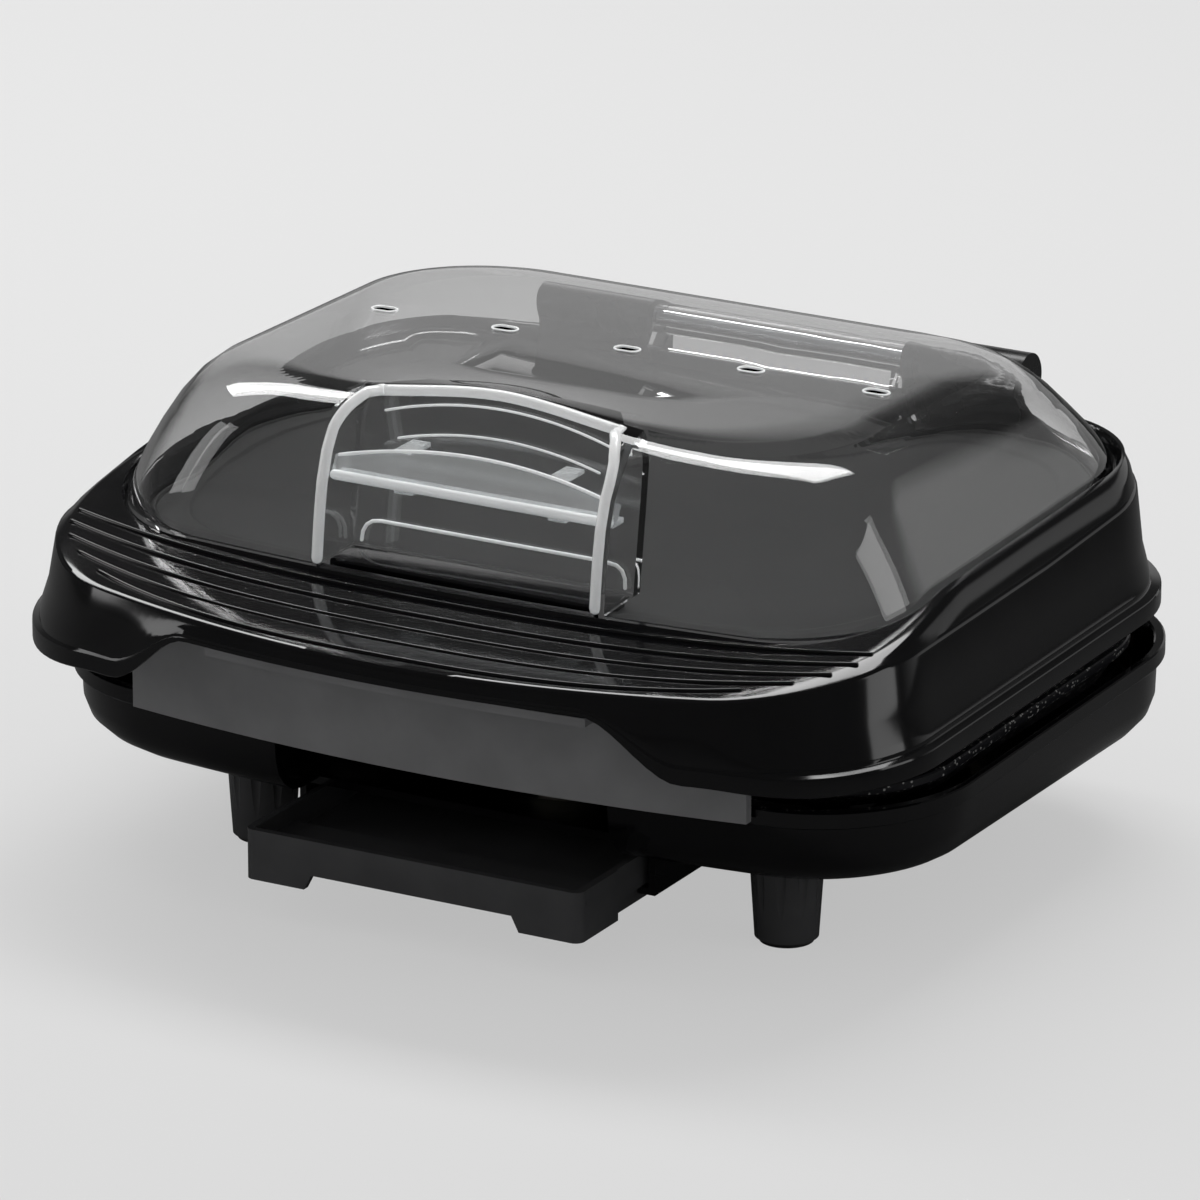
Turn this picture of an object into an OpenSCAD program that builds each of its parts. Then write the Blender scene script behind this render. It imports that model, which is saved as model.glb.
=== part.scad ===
// Electric indoor grill: a countertop contact grill under a hinged clear dome lid.
// Millimetres. +Z is up, -Y is the front, +X is the user's right; the origin is on the floor
// at the middle of the footprint.

/* [Lower housing] */
// Half width of both housings at their flanges
body_half_w = 150; // [146:1:154]
// Underside of the lower housing above the floor
base_floor_z = 32; // [28:1:36]
// Height of the lower housing's rim lip at the front
rim_z = 58.5; // [57:0.5:60]
// Half width of the notch that the drip tray slides in
notch_half_w = 59.5; // [59:0.5:64]
// Wall thickness of the moulded housings
wall = 2.5; // [2:0.1:3]

/* [Upper housing] */
// Lower edge of the upper housing at the front
cover_z = 70.5; // [70:0.5:72]
// Height of the front crease, where the ribbed band meets the fascia
crease_z = 96.8; // [95:0.1:99]
// How far the front fascia swells forward at the middle
fascia_bow = 27; // [22:1:28]
// Number of raised ribs along the front band
rib_count = 5; // [3:1:7]

/* [Handle] */
// Half width of the arch in the fascia, at its flat top
arch_top_half_w = 66; // [60:1:70]
// Half width of the arch where its S curve ends
arch_foot_half_w = 96; // [90:1:100]
// Bow radius of the front apron
apron_r = 605; // [580:5:620]
// Lower edge of the apron
apron_z = 55; // [54:0.5:58]

/* [Dome lid] */
// Half width of the dome at its rim
dome_half_w = 133.4; // [131:0.1:133.6]
// Height of the dome's crown above the floor, a little behind its middle
dome_top_z = 150.5; // [146:0.5:152]
// Height of the hood that the crown forms over the handle recess
hood_rise = 6.3; // [0:0.1:8]
// Thickness of the clear dome
dome_wall = 2.4; // [2:0.1:3]
// Half width of the handle recess in the dome
recess_half_w = 47; // [42:1:50]
// Number of vent holes in the dome
vent_count = 5; // [3:1:7]

/* [Hinges] */
// Height of the main hinge axis
hinge_z = 66; // [64:0.5:67]
// Distance of the main hinge axis behind the middle
hinge_y = 126; // [125:0.5:127]
// Upward travel of the floating main hinge; its slots are this much longer than the yokes need
float_travel = 12; // [6:1:12]
// Height of the dome's hinge axis
lid_axis_z = 126; // [125:0.5:128]
// Distance of the dome's hinge axis behind the middle
lid_axis_y = 122.5; // [122:0.5:124]

/* [Feet and tray] */
// Distance of the feet from the middle, sideways
foot_x = 90; // [84:1:96]
// Half width of the drip tray
tray_half_w = 57; // [54:0.5:57]
// Front face of the drip tray
tray_front_y = -109.5; // [-112:0.5:-106]

/* [Hidden] */

$fn = 48;
gloss_black = [0.05, 0.05, 0.055];
matt_grey = [0.22, 0.22, 0.22];
speckled = [0.13, 0.13, 0.14];
clear = [0.85, 0.9, 0.92, 0.35];
steel = [0.72, 0.73, 0.75];
ceramic = [0.9, 0.88, 0.82];
rubber = [0.12, 0.12, 0.12];
copper_red = [0.6, 0.12, 0.1];

fit = 0.3;             // gap between pieces that move past each other
pin_gap = 0.05;        // radial play of a pin in its bore
tilt = 0.02;           // rise of the plates and rims towards the back
front_corner_y = -105; // front edge of the upper housing at its corners
fascia_depth = 5.4;    // depth of the fascia over the arch
arch_foot_z = 73.5;    // height of the arch's feet
seat_front_y = -84;    // front edge of the dome's seat
seat_z = 104.6;        // height of the dome's seat at its front edge
seat_tilt = 0.042;     // rise of the seat towards the back
corner_steps = 8;
front_steps = 18;

// ---- outlines and lofts ------------------------------------------------------------------

// Points of a quarter circle of radius r round c, from the angle `from`
function quarter(c, r, from, last) =
    [for (i = [0:last]) let (q = from + 90 * i / corner_steps) [c.x + r * cos(q), c.y + r * sin(q)]];

// Moves a front point forward by the bow, which fades out towards the sides
function bowed(p, w, mid, bow) = p.y < mid ? [p.x, p.y - bow * (1 - pow(p.x / w, 2))] : p;

// Rounded rectangle, anticlockwise, with a front edge that swells forward.
// w half width, yf and yr front and rear edges, rf and rr corner radii
function outline(w, yf, yr, rf, rr, bow) =
    let (flat = [for (p = concat(
        [for (i = [0:front_steps - 1]) [(w - rf) * (2 * i / front_steps - 1), yf]],
        quarter([w - rf, yf + rf], rf, -90, corner_steps),
        quarter([w - rr, yr - rr], rr, 0, corner_steps),
        quarter([rr - w, yr - rr], rr, 90, corner_steps),
        quarter([rf - w, yf + rf], rf, 180, corner_steps - 1))) p])
    [for (p = flat) bowed(p, w, (yf + yr) / 2, bow)];

// Lifts an outline to the height that the function z gives for each point
function lift(pts, z) = [for (p = pts) [p.x, p.y, z(p)]];

// Skins a list of rings; `wrap` joins the last ring to the first, otherwise both get a cap.
// The solid lies above the first ring.
module loft(rings, wrap = false) {
    n = len(rings[0]);
    m = len(rings);
    bands = wrap ? m : m - 1;
    sides = [for (j = [0:bands - 1], i = [0:n - 1])
        let (a = j * n, b = ((j + 1) % m) * n, k = (i + 1) % n)
        each [[a + i, b + i, b + k], [a + i, b + k, a + k]]];
    caps = wrap ? [] : [[for (i = [0:n - 1]) i], [for (i = [n - 1:-1:0]) (m - 1) * n + i]];
    polyhedron(points = [for (r = rings) each r], faces = concat(sides, caps), convexity = 8);
}

// Heights of the sloping edges, each as a function of a point
function rim(dz) = function(p) rim_z + dz + tilt * (p.y + 90);
function cover(dz) = function(p) cover_z + dz + tilt * (p.y + 90);
function seat(dz) = function(p) seat_z + dz + seat_tilt * (p.y - seat_front_y);
function level(z) = function(p) z;
function crease_h(y) = y < -78 ? crease_z + 0.14 * (y + 130)
    : y < 19 ? crease_z + 7.3 + 0.026 * (y + 78)
    : crease_z + 9.8 + 0.06 * (y - 19);
function shoulder_h(y) = y < -33 ? seat_z + 9.4 + 0.185 * (y + 33) : seat_z + 9.4 + 0.035 * (y + 33);
function crease(dz) = function(p) crease_h(p.y) + dz;
shoulder = function(p) max(shoulder_h(p.y), crease_h(p.y) + 0.1);

// Eases from 0 to 1 with level ends
function ease(t) = let (u = min(1, max(0, t))) u * u * (3 - 2 * u);

// Lower edge of the upper housing: the fascia's arch rises in an S curve from its feet
function low_edge(p) =
    let (plain = cover(0)(p), foot = plain + (arch_foot_z - plain) * ease((140 - abs(p.x)) / 40))
    p.y > -60 ? plain : foot + (crease_z - fascia_depth - foot)
        * ease((arch_foot_half_w - abs(p.x)) / (arch_foot_half_w - arch_top_half_w));

// Line along the wall, dz above the lower edge; the arch squeezes it towards the crease
function wall_line(dz) = function(p)
    let (low = low_edge(p), top = crease_h(p.y)) low + dz * (top - low) / (top - cover(0)(p));

module mirrored(side) { if (side < 0) mirror([1, 0, 0]) children(); else children(); }
module along_x(x0, x1, r, y, z) { translate([x0, y, z]) rotate([0, 90, 0]) cylinder(r = r, h = x1 - x0); }

// ---- lower housing -----------------------------------------------------------------------

base_front_y = -84;
base_rear_y = 122;

function base_ring(inset, z, r = 42) =
    lift(outline(body_half_w - inset, base_front_y + inset, base_rear_y - inset, r, r + 6, 12), z);

module lower_housing() {
    color(gloss_black) difference() {
        loft([
            base_ring(17, level(base_floor_z), 34), base_ring(7.5, level(base_floor_z + 4), 38),
            base_ring(2.6, level(base_floor_z + 12), 40), base_ring(1.8, rim(-6)),
            base_ring(0, rim(-5)), base_ring(0, rim(0)), base_ring(2.5, rim(0)),
            base_ring(4.3, rim(-6)), base_ring(5.2, level(base_floor_z + 12), 40),
            base_ring(10, level(base_floor_z + 5), 38), base_ring(19, level(base_floor_z + wall), 34)]);
        // notch for the tray, through the front wall
        translate([-notch_half_w + 3, -110, base_floor_z - 2]) cube([2 * notch_half_w - 6, 38, 50]);
        // cord inlet
        translate([60, 132, 46]) rotate([90, 0, 0]) cylinder(r = 6, h = 30);
        // seats of the hinge guides
        for (s = [-1, 1]) translate([s * 94 - 8.2, 110, 36]) cube([16.4, 20, 40]);
        // foot screw holes
        for (x = [-foot_x, foot_x], y = [foot_front_y, foot_rear_y])
            translate([x, y, base_floor_z - 1]) cylinder(r = 1.7, h = 6);
    }
    // posts under the reflector
    color(gloss_black) for (x = [-post_x, post_x], y = post_y)
        translate([x, y, base_floor_z + wall - 0.5]) cylinder(r = 3, h = lower_sheet_z - base_floor_z - wall + 0.5);
}

// ---- grill plates ------------------------------------------------------------------------

// Rounded bars across a plate, from the front to the back
module plate_ribs(count, pitch, len, z0, z1, y0) {
    for (i = [0:count - 1]) {
        x = (i - (count - 1) / 2) * pitch;
        translate([x - 1.5, y0, z0]) cube([3, len, z1 - z0]);
    }
}

function plate_ring(inset, z) = lift(outline(143 - inset, -76 + inset, 106 - inset, 34, 40, 9), z);

module lower_plate() {
    color(speckled) difference() {
        union() {
            loft([
                plate_ring(13, level(53)), plate_ring(6.5, level(54.5)), plate_ring(2, rim(0.6)),
                plate_ring(0, rim(2)), plate_ring(0, rim(4.5)), plate_ring(2.5, rim(4.5)),
                plate_ring(4, rim(1)), plate_ring(9, level(56.5)), plate_ring(15, level(55.5))]);
            plate_ribs(13, 19, 150, 55, 59, -62);
        }
        // drain mouth at the front, over the tray
        translate([-18, -92, 57.3]) cube([36, 24, 12]);
    }
}

module upper_plate() {
    color(speckled) union() {
        loft([
            plate_ring(15, level(73)), plate_ring(9, level(72)), plate_ring(4, cover(-2.5)),
            plate_ring(2.5, cover(-6)), plate_ring(0, cover(-6)), plate_ring(0, cover(-3)),
            plate_ring(2, cover(-2)), plate_ring(6.5, level(74.5)), plate_ring(13, level(75.5))]);
        plate_ribs(13, 19, 150, 69.8, 73.5, -62);
    }
}

// ---- heating ------------------------------------------------------------------------------

tube_r = 3.3;
lower_plate_z = 53;      // underside of the lower plate
upper_plate_z = 75.5;    // back of the upper plate
lower_sheet_z = 43.5;    // underside of the lower reflector
upper_sheet_z = 85.8;    // upper face of the upper reflector
post_x = 96;
post_y = [-38, 52];

// Tubular element: two long legs joined by half turns, with its cold ends at the back
module element(z) {
    leg_x = 88;
    back_y = 60;
    for (s = [-1, 1]) {
        translate([s * leg_x, back_y, z]) rotate([90, 0, 0]) cylinder(r = tube_r, h = 80, $fn = 24);
        translate([s * (leg_x - 60), back_y + 12, z]) rotate([90, 0, 0])
            cylinder(r = tube_r, h = 92, $fn = 24);
        translate([s * (leg_x - 30), back_y - 80, z]) rotate([0, 0, 180])
            rotate_extrude(angle = 180, $fn = 48) translate([30, 0]) circle(r = tube_r, $fn = 24);
        translate([s * leg_x, back_y, z]) sphere(r = tube_r, $fn = 24);
    }
}

module lower_heater() { color(steel) element(lower_plate_z - tube_r); }
module upper_heater() { color(steel) element(upper_plate_z + tube_r); }

// Pressed tray that throws the heat back at the plate
module reflector(z, lip) {
    up = lip > 0 ? 1 : -1;
    translate([0, 14, z]) {
        linear_extrude(0.8) offset(r = 8, $fn = 24) square([212, 126], center = true);
        translate([0, 0, lip > 0 ? 0.8 : -abs(lip)]) linear_extrude(abs(lip)) difference() {
            offset(r = 8, $fn = 24) square([212, 126], center = true);
            offset(r = 7.2, $fn = 24) square([212, 126], center = true);
        }
    }
}

module lower_reflector() { color(steel) reflector(lower_sheet_z, 4); }
module upper_reflector() { color(steel) reflector(upper_sheet_z - 0.8, -4); }

// Two spring clips bent from strip, drawn as their side profile
module plate_clips(profile) {
    for (x = [-36, 20]) translate([x, 0, 0]) rotate([90, 0, 90]) linear_extrude(16) polygon(profile);
}

module plate_clips_lower() {
    floor_z = base_floor_z + wall;
    color(steel) plate_clips([[97.2, floor_z], [98.6, floor_z], [98.6, lower_plate_z + 1.27],
        [93.2, lower_plate_z + 0.02], [93.2, lower_plate_z - 1.2], [97.2, lower_plate_z - 0.3]]);
}

module plate_clips_upper() {
    z = upper_plate_z;
    color(steel) plate_clips([[113.98, 96], [112.6, 96], [112.6, 87.6], [98.6, 85.4], [95.6, z - 0.36],
        [98.4, z - 0.8], [100, 84.2], [113.98, 86.4]]);
}

// Snap thermostat, pressed against the reflector's underside
module thermostat() {
    color(ceramic) translate([0, -20, lower_sheet_z - 7]) {
        cylinder(r = 9, h = 5);
        translate([0, 0, 4.5]) cylinder(r = 6, h = 2.5);
        for (s = [-1, 1]) translate([s * 11 - 3, -2.5, 1]) cube([6, 5, 1]);
    }
}

module thermal_fuse() { color(steel) along_x(-12, 12, 2, 30, lower_sheet_z - 2); }

module terminal_block() {
    color(ceramic) difference() {
        translate([42, 86, base_floor_z + wall]) cube([36, 13, 9]);
        for (i = [0:2]) translate([48 + 12 * i, 92, base_floor_z]) cylinder(r = 2, h = 20, $fn = 24);
    }
}

module wire(points, r) {
    for (i = [0:len(points) - 2]) let (a = points[i], b = points[i + 1], d = b - a)
        translate(a) rotate([0, acos(d.z / norm(d)), atan2(d.y, d.x)]) {
            cylinder(r = r, h = norm(d), $fn = 16);
            sphere(r = 1.04 * r, $fn = 16);
        }
}

module lower_wires() {
    color(copper_red) {
        wire([[60, 118, 46], [60, 108, 46], [60, 103, 42], [60, 100.6, 40]], 1.5);
        wire([[40.7, 92, 38], [20, 62, 38], [20, -12, 37], [15.3, -18.6, 37.5]], 1.2);
        wire([[-15.3, -20, 37.5], [-22, -8, 38.5], [-22, 24, 40], [-13.3, 29.6, 41.5]], 1.2);
    }
}

module cord_inlet() {
    color(rubber) translate([60, 124.7, 46]) rotate([90, 0, 0]) difference() {
        union() {
            cylinder(r = 8.5, h = 4.6);
            cylinder(r = 5.98, h = 11);
        }
        translate([0, 0, -1]) cylinder(r = 3.6, h = 16);
    }
}

// ---- feet, rails and tray ------------------------------------------------------------------

foot_front_y = -43.5;
foot_rear_y = 77;
foot_r = 11.6;

module foot(x, y) {
    color(gloss_black) translate([x, y, 1.5]) difference() {
        cylinder(r1 = 9.6, r2 = foot_r, h = base_floor_z - 1.5, $fn = 64);
        for (i = [0:9]) rotate(36 * i) translate([foot_r + 0.6, 0, -1]) cylinder(r = 2.1, h = 40, $fn = 24);
        translate([0, 0, base_floor_z - 13]) cylinder(r = 1.7, h = 12);
    }
}

module foot_front_left() { foot(-foot_x, foot_front_y); }
module foot_front_right() { foot(foot_x, foot_front_y); }
module foot_rear_left() { foot(-foot_x, foot_rear_y); }
module foot_rear_right() { foot(foot_x, foot_rear_y); }

module foot_pads() {
    color(rubber) for (x = [-foot_x, foot_x], y = [foot_front_y, foot_rear_y])
        translate([x, y, 0]) cylinder(r = 8.2, h = 1.5);
}

rail_front_y = -71;
rail_len = 100;

module tray_rail(side) {
    color(gloss_black) mirrored(side) {
        translate([58.5, rail_front_y, 17]) cube([2.2, rail_len, base_floor_z - 17]);
        translate([54.8, rail_front_y, 17]) cube([3.8, rail_len, 2]);
        for (i = [0:2]) translate([60.6, rail_front_y + 12 + 34 * i, base_floor_z - 7]) cube([6, 2, 7]);
    }
}

module tray_rail_left() { tray_rail(-1); }
module tray_rail_right() { tray_rail(1); }

tray_len = 124;

module drip_tray() {
    w = tray_half_w;
    lip_w = 57.4;
    color(gloss_black) difference() {
        union() {
            // front block with rounded upright corners
            translate([0, tray_front_y, 13.8]) linear_extrude(15.7) {
                translate([-w + 3, 0]) square([2 * w - 6, 23]);
                for (s = [-1, 1]) translate([s * (w - 3), 3]) circle(r = 3);
                for (s = [-1, 1]) translate([s * (w - 1.5) - 1.5, 3]) square([3, 20]);
            }
            // pan behind it, with a floor that runs on the rails
            translate([-lip_w + 1, tray_front_y + 22, 19.4]) cube([2 * lip_w - 2, tray_len - 22, 10.1]);
            // skirt between the rails
            translate([-54, tray_front_y + 22, 13.8]) cube([108, tray_len - 22, 6]);
        }
        // inside of the pan and of the shallower front ledge
        translate([-w + 2.6, tray_front_y + 24.4, 21.4]) cube([2 * w - 5.2, tray_len - 26.8, 20]);
        translate([-w + 2.6, tray_front_y + 2.4, 24.5]) cube([2 * w - 5.2, 24, 20]);
        // underside between the skirts
        translate([-51.6, tray_front_y + 24.4, 10]) cube([103.2, tray_len, 9.4]);
        translate([-w + 2.6, tray_front_y + 2.4, 10]) cube([2 * w - 5.2, 19, 12.6]);
        // finger cut-out in the front wall
        translate([0, tray_front_y + 30, 0]) rotate([90, 0, 0]) linear_extrude(60) polygon(
            [[-36.5, 10], [-36.5, 13.8], [-34, 18.6], [34, 18.6], [36.5, 13.8], [36.5, 10]]);
    }
}

// ---- main hinge -----------------------------------------------------------------------------

guide_x = 94;
cover_screw_y = 104.2;    // heads of the screws that hold the hinge arms
cover_screw_z = [84, 93];

module cover_screw_holes() {
    for (z = cover_screw_z) translate([guide_x, 100, z]) rotate([-90, 0, 0]) cylinder(r = 1.45, h = 20);
}

module hinge_guide(side) {
    color(gloss_black) mirrored(side) difference() {
        translate([guide_x - 8, 112, 36]) cube([16, 20, float_travel + 10.4]);
        translate([guide_x - 2 - fit, hinge_y - 6, 37.5]) cube([4 + 2 * fit, 12, 30]);
    }
}

module hinge_guide_left() { hinge_guide(-1); }
module hinge_guide_right() { hinge_guide(1); }

module hinge_yoke(side) {
    color(steel) mirrored(side) difference() {
        union() {
            translate([guide_x - 2, hinge_y - 5.7, 38]) cube([4, 11.4, hinge_z - 38]);
            along_x(guide_x - 2, guide_x + 2, 5.7, hinge_y, hinge_z);
        }
        along_x(guide_x - 4, guide_x + 4, 3, hinge_y, hinge_z);
    }
}

module hinge_yoke_left() { hinge_yoke(-1); }
module hinge_yoke_right() { hinge_yoke(1); }

module hinge_arm(side) {
    cheek = 3.6;
    color(gloss_black) mirrored(side) difference() {
        union() {
            translate([guide_x - 7, 112, 78]) cube([14, 10, 18]);
            for (x = [guide_x - 2 - 0.4 - cheek, guide_x + 2 + 0.4]) {
                along_x(x, x + cheek, 6.6, hinge_y, hinge_z);
                translate([x, 0, 0]) rotate([90, 0, 90]) linear_extrude(cheek) polygon(
                    [[hinge_y - 6, hinge_z + 2], [hinge_y + 6.4, hinge_z + 1.5], [hinge_y + 5, 78],
                     [122, 93], [121, 93], [121, 78], [hinge_y - 5, 74]]);
            }
        }
        along_x(guide_x - 9, guide_x + 9, 3, hinge_y, hinge_z);
        cover_screw_holes();
    }
}

module hinge_arm_left() { hinge_arm(-1); }
module hinge_arm_right() { hinge_arm(1); }

module hinge_pins() {
    color(steel) for (s = [-1, 1]) mirrored(s) {
        along_x(guide_x - 6, guide_x + 6, 3 - pin_gap, hinge_y, hinge_z);
        along_x(guide_x + 6.1, guide_x + 7.6, 4.2, hinge_y, hinge_z);
        along_x(guide_x + 5.9, guide_x + 6.2, 2.8, hinge_y, hinge_z);
    }
}

// ---- upper housing --------------------------------------------------------------------------

cover_rear_y = 120;

function cover_ring(inset, z, front = 0, rear = 0, rf = 42, rr = 50, bow = fascia_bow) =
    lift(outline(body_half_w - inset, front_corner_y + front, cover_rear_y - rear, rf, rr, bow), z);
function seat_ring(inset, z) =
    lift(outline(134.3 - inset, -76 + inset, 115.6 - max(inset, -1.3), 38, 42, 9), z);

// One raised rib of the front band: a thin bowed strip laid on the slope
module front_rib(i) {
    // each rib keeps its own bow: half length, y at its ends and y at the middle
    half = 133.9 - 25.9 * pow(i / (rib_count - 1), 2.2);
    end_y = -75.4 - 31.1 * pow(i / (rib_count - 1), 1.1);
    mid_y = -90 - 8.6 * i;
    steps = 16;
    pts = [for (k = [-steps:steps]) let (t = k / steps)
        [half * t, mid_y + (end_y - mid_y) * pow(abs(t), 2.6)]];
    z = shoulder;
    rings = [for (p = pts) let (h = z(p)) [
        [p.x, p.y - 0.6, h - 0.8], [p.x, p.y + 0.6, h - 0.8],
        [p.x, p.y + 0.45, h + 0.55], [p.x, p.y - 0.45, h + 0.45]]];
    loft(rings);
}

// Solid blocks inside the rear wall that the hinge arms are screwed to
module arm_blocks() {
    for (s = [-1, 1]) mirrored(s) difference() {
        translate([guide_x - 11, 106, 79]) cube([22, 9, 20]);
        cover_screw_holes();
    }
}

// Webs under the deck that the apron's ledge is fixed to
module apron_webs() {
    for (x = [-41.5, 38.5]) translate([x, 0, 0]) rotate([90, 0, 90]) linear_extrude(3)
        polygon([[-118, apron_z + 32.8], [-100, apron_z + 32.8], [-100, 99.5], [-118, 97]]);
}

module upper_housing() {
    color(gloss_black) {
        difference() {
            union() {
                loft([
                    cover_ring(0, wall_line(0)), cover_ring(0, wall_line(6)),
                    cover_ring(2.6, wall_line(7), 0, 2.4), cover_ring(2.6, wall_line(8.6), 0, 2.4),
                    cover_ring(3.4, wall_line(11), 0, 2.45), cover_ring(8, crease(0), 2.5, 2.5, 40, 48),
                    cover_ring(11, shoulder, 5.5, 2.8, 39, 46), seat_ring(-1.2, shoulder),
                    seat_ring(0, seat(1)), seat_ring(0, seat(0)), seat_ring(5, seat(0)),
                    seat_ring(5, seat(-2.2)), seat_ring(0.5, seat(-2.2)),
                    lift(outline(137.8, -79.5, 114.1, 38, 42, 9), seat(-4.5)),
                    cover_ring(11.5, crease(-2.6), 9, 6, 38, 46), cover_ring(6, wall_line(11), 4, 6),
                    cover_ring(3, wall_line(6), 3, 3), cover_ring(2.6, wall_line(0), 2.6, 2.6)],
                    wrap = true);
                arm_blocks();
                apron_webs();
            }
            // pockets for the hinge arms and for the dome's hinge blocks
            for (s = [-1, 1]) {
                translate([s * guide_x - 7.2, 112, 66]) cube([14.4, 20, 30.2]);
                mirrored(s) lid_block_volume();
            }
            // gap in the rear wall between the blocks, behind the dome's clear barrel
            translate([-44.3, 115.7, 113.2]) cube([88.6, 10, 12]);
        }
        for (i = [0:rib_count - 1]) front_rib(i);
    }
}

module front_apron() {
    centre_y = -104 + apron_r;
    color(gloss_black) {
        intersection() {
            translate([0, centre_y, apron_z]) difference() {
                cylinder(r = apron_r, h = 33, $fn = 720);
                translate([0, 0, -1]) cylinder(r = apron_r - 3, h = 40, $fn = 720);
            }
            difference() {
                translate([-104, -110, 50]) cube([208, 40, 40]);
                for (s = [-1, 1]) translate([s * 98.6, -110, 50]) cylinder(r = 2, h = 60);
            }
        }
        // ledge that closes the finger space from above
        intersection() {
            translate([0, centre_y, apron_z + 30.2]) difference() {
                cylinder(r = apron_r + 18, h = 2.6, $fn = 720);
                translate([0, 0, -1]) cylinder(r = apron_r - 1.5, h = 5, $fn = 720);
            }
            translate([-64, -140, 80]) cube([128, 60, 12]);
        }
    }
}

// Warming floor: its flange is held under the dome's seat, and its legs press on the reflector
module warming_tray() {
    pan = function(inset, z) lift(outline(128.8 - inset, -70.5 + inset, 110.1 - inset, 38, 42, 8), z);
    color(matt_grey) {
        loft([
            pan(13, seat(-5.2)), pan(9.5, seat(-5.2)), pan(8, seat(-4.2)), pan(-3, seat(-4.2)),
            pan(-3, seat(-2.2)), pan(0, seat(-2.2)), pan(0, seat(-1.2)), pan(1, seat(-2.2)),
            pan(8, seat(-2.4)), pan(9, seat(-3.4)), pan(13, seat(-3.4))]);
        for (x = [-post_x, post_x], y = post_y) {
            under = seat(-4.6)([x, y]);
            translate([x, y, upper_sheet_z]) cylinder(r = 3, h = under - upper_sheet_z);
        }
    }
}

// ---- dome lid -------------------------------------------------------------------------------

module lid_block_volume() {
    translate([44.2, lid_axis_y - 7, 104]) cube([39.8, 14.6, lid_axis_z - 104]);
}

module lid_hinge_block(side) {
    color(gloss_black) mirrored(side) difference() {
        union() {
            lid_block_volume();
            along_x(44.2, 84, 8.3, lid_axis_y, lid_axis_z);
        }
        along_x(40, 76, 2, lid_axis_y, lid_axis_z);
    }
}

module lid_hinge_block_left() { lid_hinge_block(-1); }
module lid_hinge_block_right() { lid_hinge_block(1); }

module lid_hinge_pin() {
    color(steel) along_x(-74, 74, 2 - pin_gap, lid_axis_y, lid_axis_z);
}

// The crown without its hood, a plane that falls a little towards the back
function crown_plane(dz) = function(p) dome_top_z - 0.03 * (p.y - 20) + dz;

// Height inside the dome wall: `share` is 0 at the rim and 1 at the crown. The hood over the
// handle recess fades out to the sides and to the back.
function dome_z(share, dz) = function(p)
    let (low = seat(2.7)(p), crown = crown_plane(0)(p),
        hood = hood_rise * exp(-pow(p.x / 40, 2) - pow((p.y + 55) / 36, 2)))
    low + share * (crown - low) + pow(share, 3) * hood + dz;

// Ring of the dome, drawn in by its own amount at the sides, the front and the rear
function dome_ring(side, front, rear, z, r = 37) =
    lift(outline(dome_half_w - side, -75 + front, 114.6 - rear, r, r + 4, 9), z);

// Rings of the dome at a depth t inside its outer skin, from the rim to the crown
function dome_skin(t) = [
    dome_ring(t, t, t, seat(fit)), dome_ring(t, t, t, dome_z(0, 0)),
    dome_ring(2 + t, 0.6 + t, 2 + t, dome_z(0.12, 0)), dome_ring(5.6 + t, 1.6 + t, 5 + t, dome_z(0.3, 0)),
    dome_ring(10.4 + t, 3.2 + t, 9 + t, dome_z(0.5, -0.15 * t)),
    dome_ring(15 + t, 6 + t, 13 + t, dome_z(0.68, -0.3 * t)),
    dome_ring(19.5 + 0.8 * t, 10 + t, 17 + 0.8 * t, dome_z(0.82, -0.6 * t), 36),
    dome_ring(24.5 + 0.5 * t, 15 + 0.8 * t, 21.5 + 0.5 * t, dome_z(0.92, -0.85 * t), 35),
    dome_ring(31 + 0.2 * t, 21 + 0.5 * t, 27 + 0.2 * t, dome_z(0.98, -t), 34),
    dome_ring(42, 30, 36, dome_z(1, -t), 32), dome_ring(66, 60, 56, crown_plane(0.4 - t), 26)];
function reverse(list) = [for (i = [len(list) - 1:-1:0]) list[i]];

module dome_shell() { loft(concat(reverse(dome_skin(dome_wall)), dome_skin(0))); }

// The dome as a solid at the middle of its skin, which trims the recess walls
module dome_core() { loft(dome_skin(dome_wall / 2)); }

recess_foot_y = -61.5;   // foot of the recess's inner wall
recess_foot_z = 106;
recess_lean = 8.25;      // the inner wall leans back by this many degrees
recess_corner_r = 13;

// Profile of the handle recess across the front: upright sides under an arched top
module recess_profile(grow) {
    w = recess_half_w + grow;
    r = recess_corner_r + grow;
    steps = 10;
    corner = [for (k = [0:steps]) let (q = 90 * k / steps) [w - r + r * cos(q), 37.5 + r * sin(q)]];
    polygon(concat([[w, -16]], corner, [[0, 54.5 + grow]],
        [for (k = [steps:-1:0]) [-corner[k].x, corner[k].y]], [[-w, -16]]));
}

module recess_block(grow) {
    translate([0, recess_foot_y + grow, recess_foot_z]) rotate([90 - recess_lean, 0, 0])
        linear_extrude(40) recess_profile(grow);
}

// Slot with round ends through the crown
module vent() {
    translate([-1.6, -2, 0]) cube([3.2, 4, 40]);
    for (s = [-1, 1]) translate([1.6 * s, 0, 0]) cylinder(r = 2, h = 40);
}

module dome_lid() {
    color(clear) difference() {
        union() {
            difference() {
                dome_shell();
                recess_block(0);
            }
            intersection() {
                dome_core();
                difference() {
                    recess_block(dome_wall);
                    recess_block(0);
                }
            }
        }
        for (i = [0:vent_count - 1])
            translate([42.2 * (i - (vent_count - 1) / 2), 21, 130]) vent();
    }
}

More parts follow.
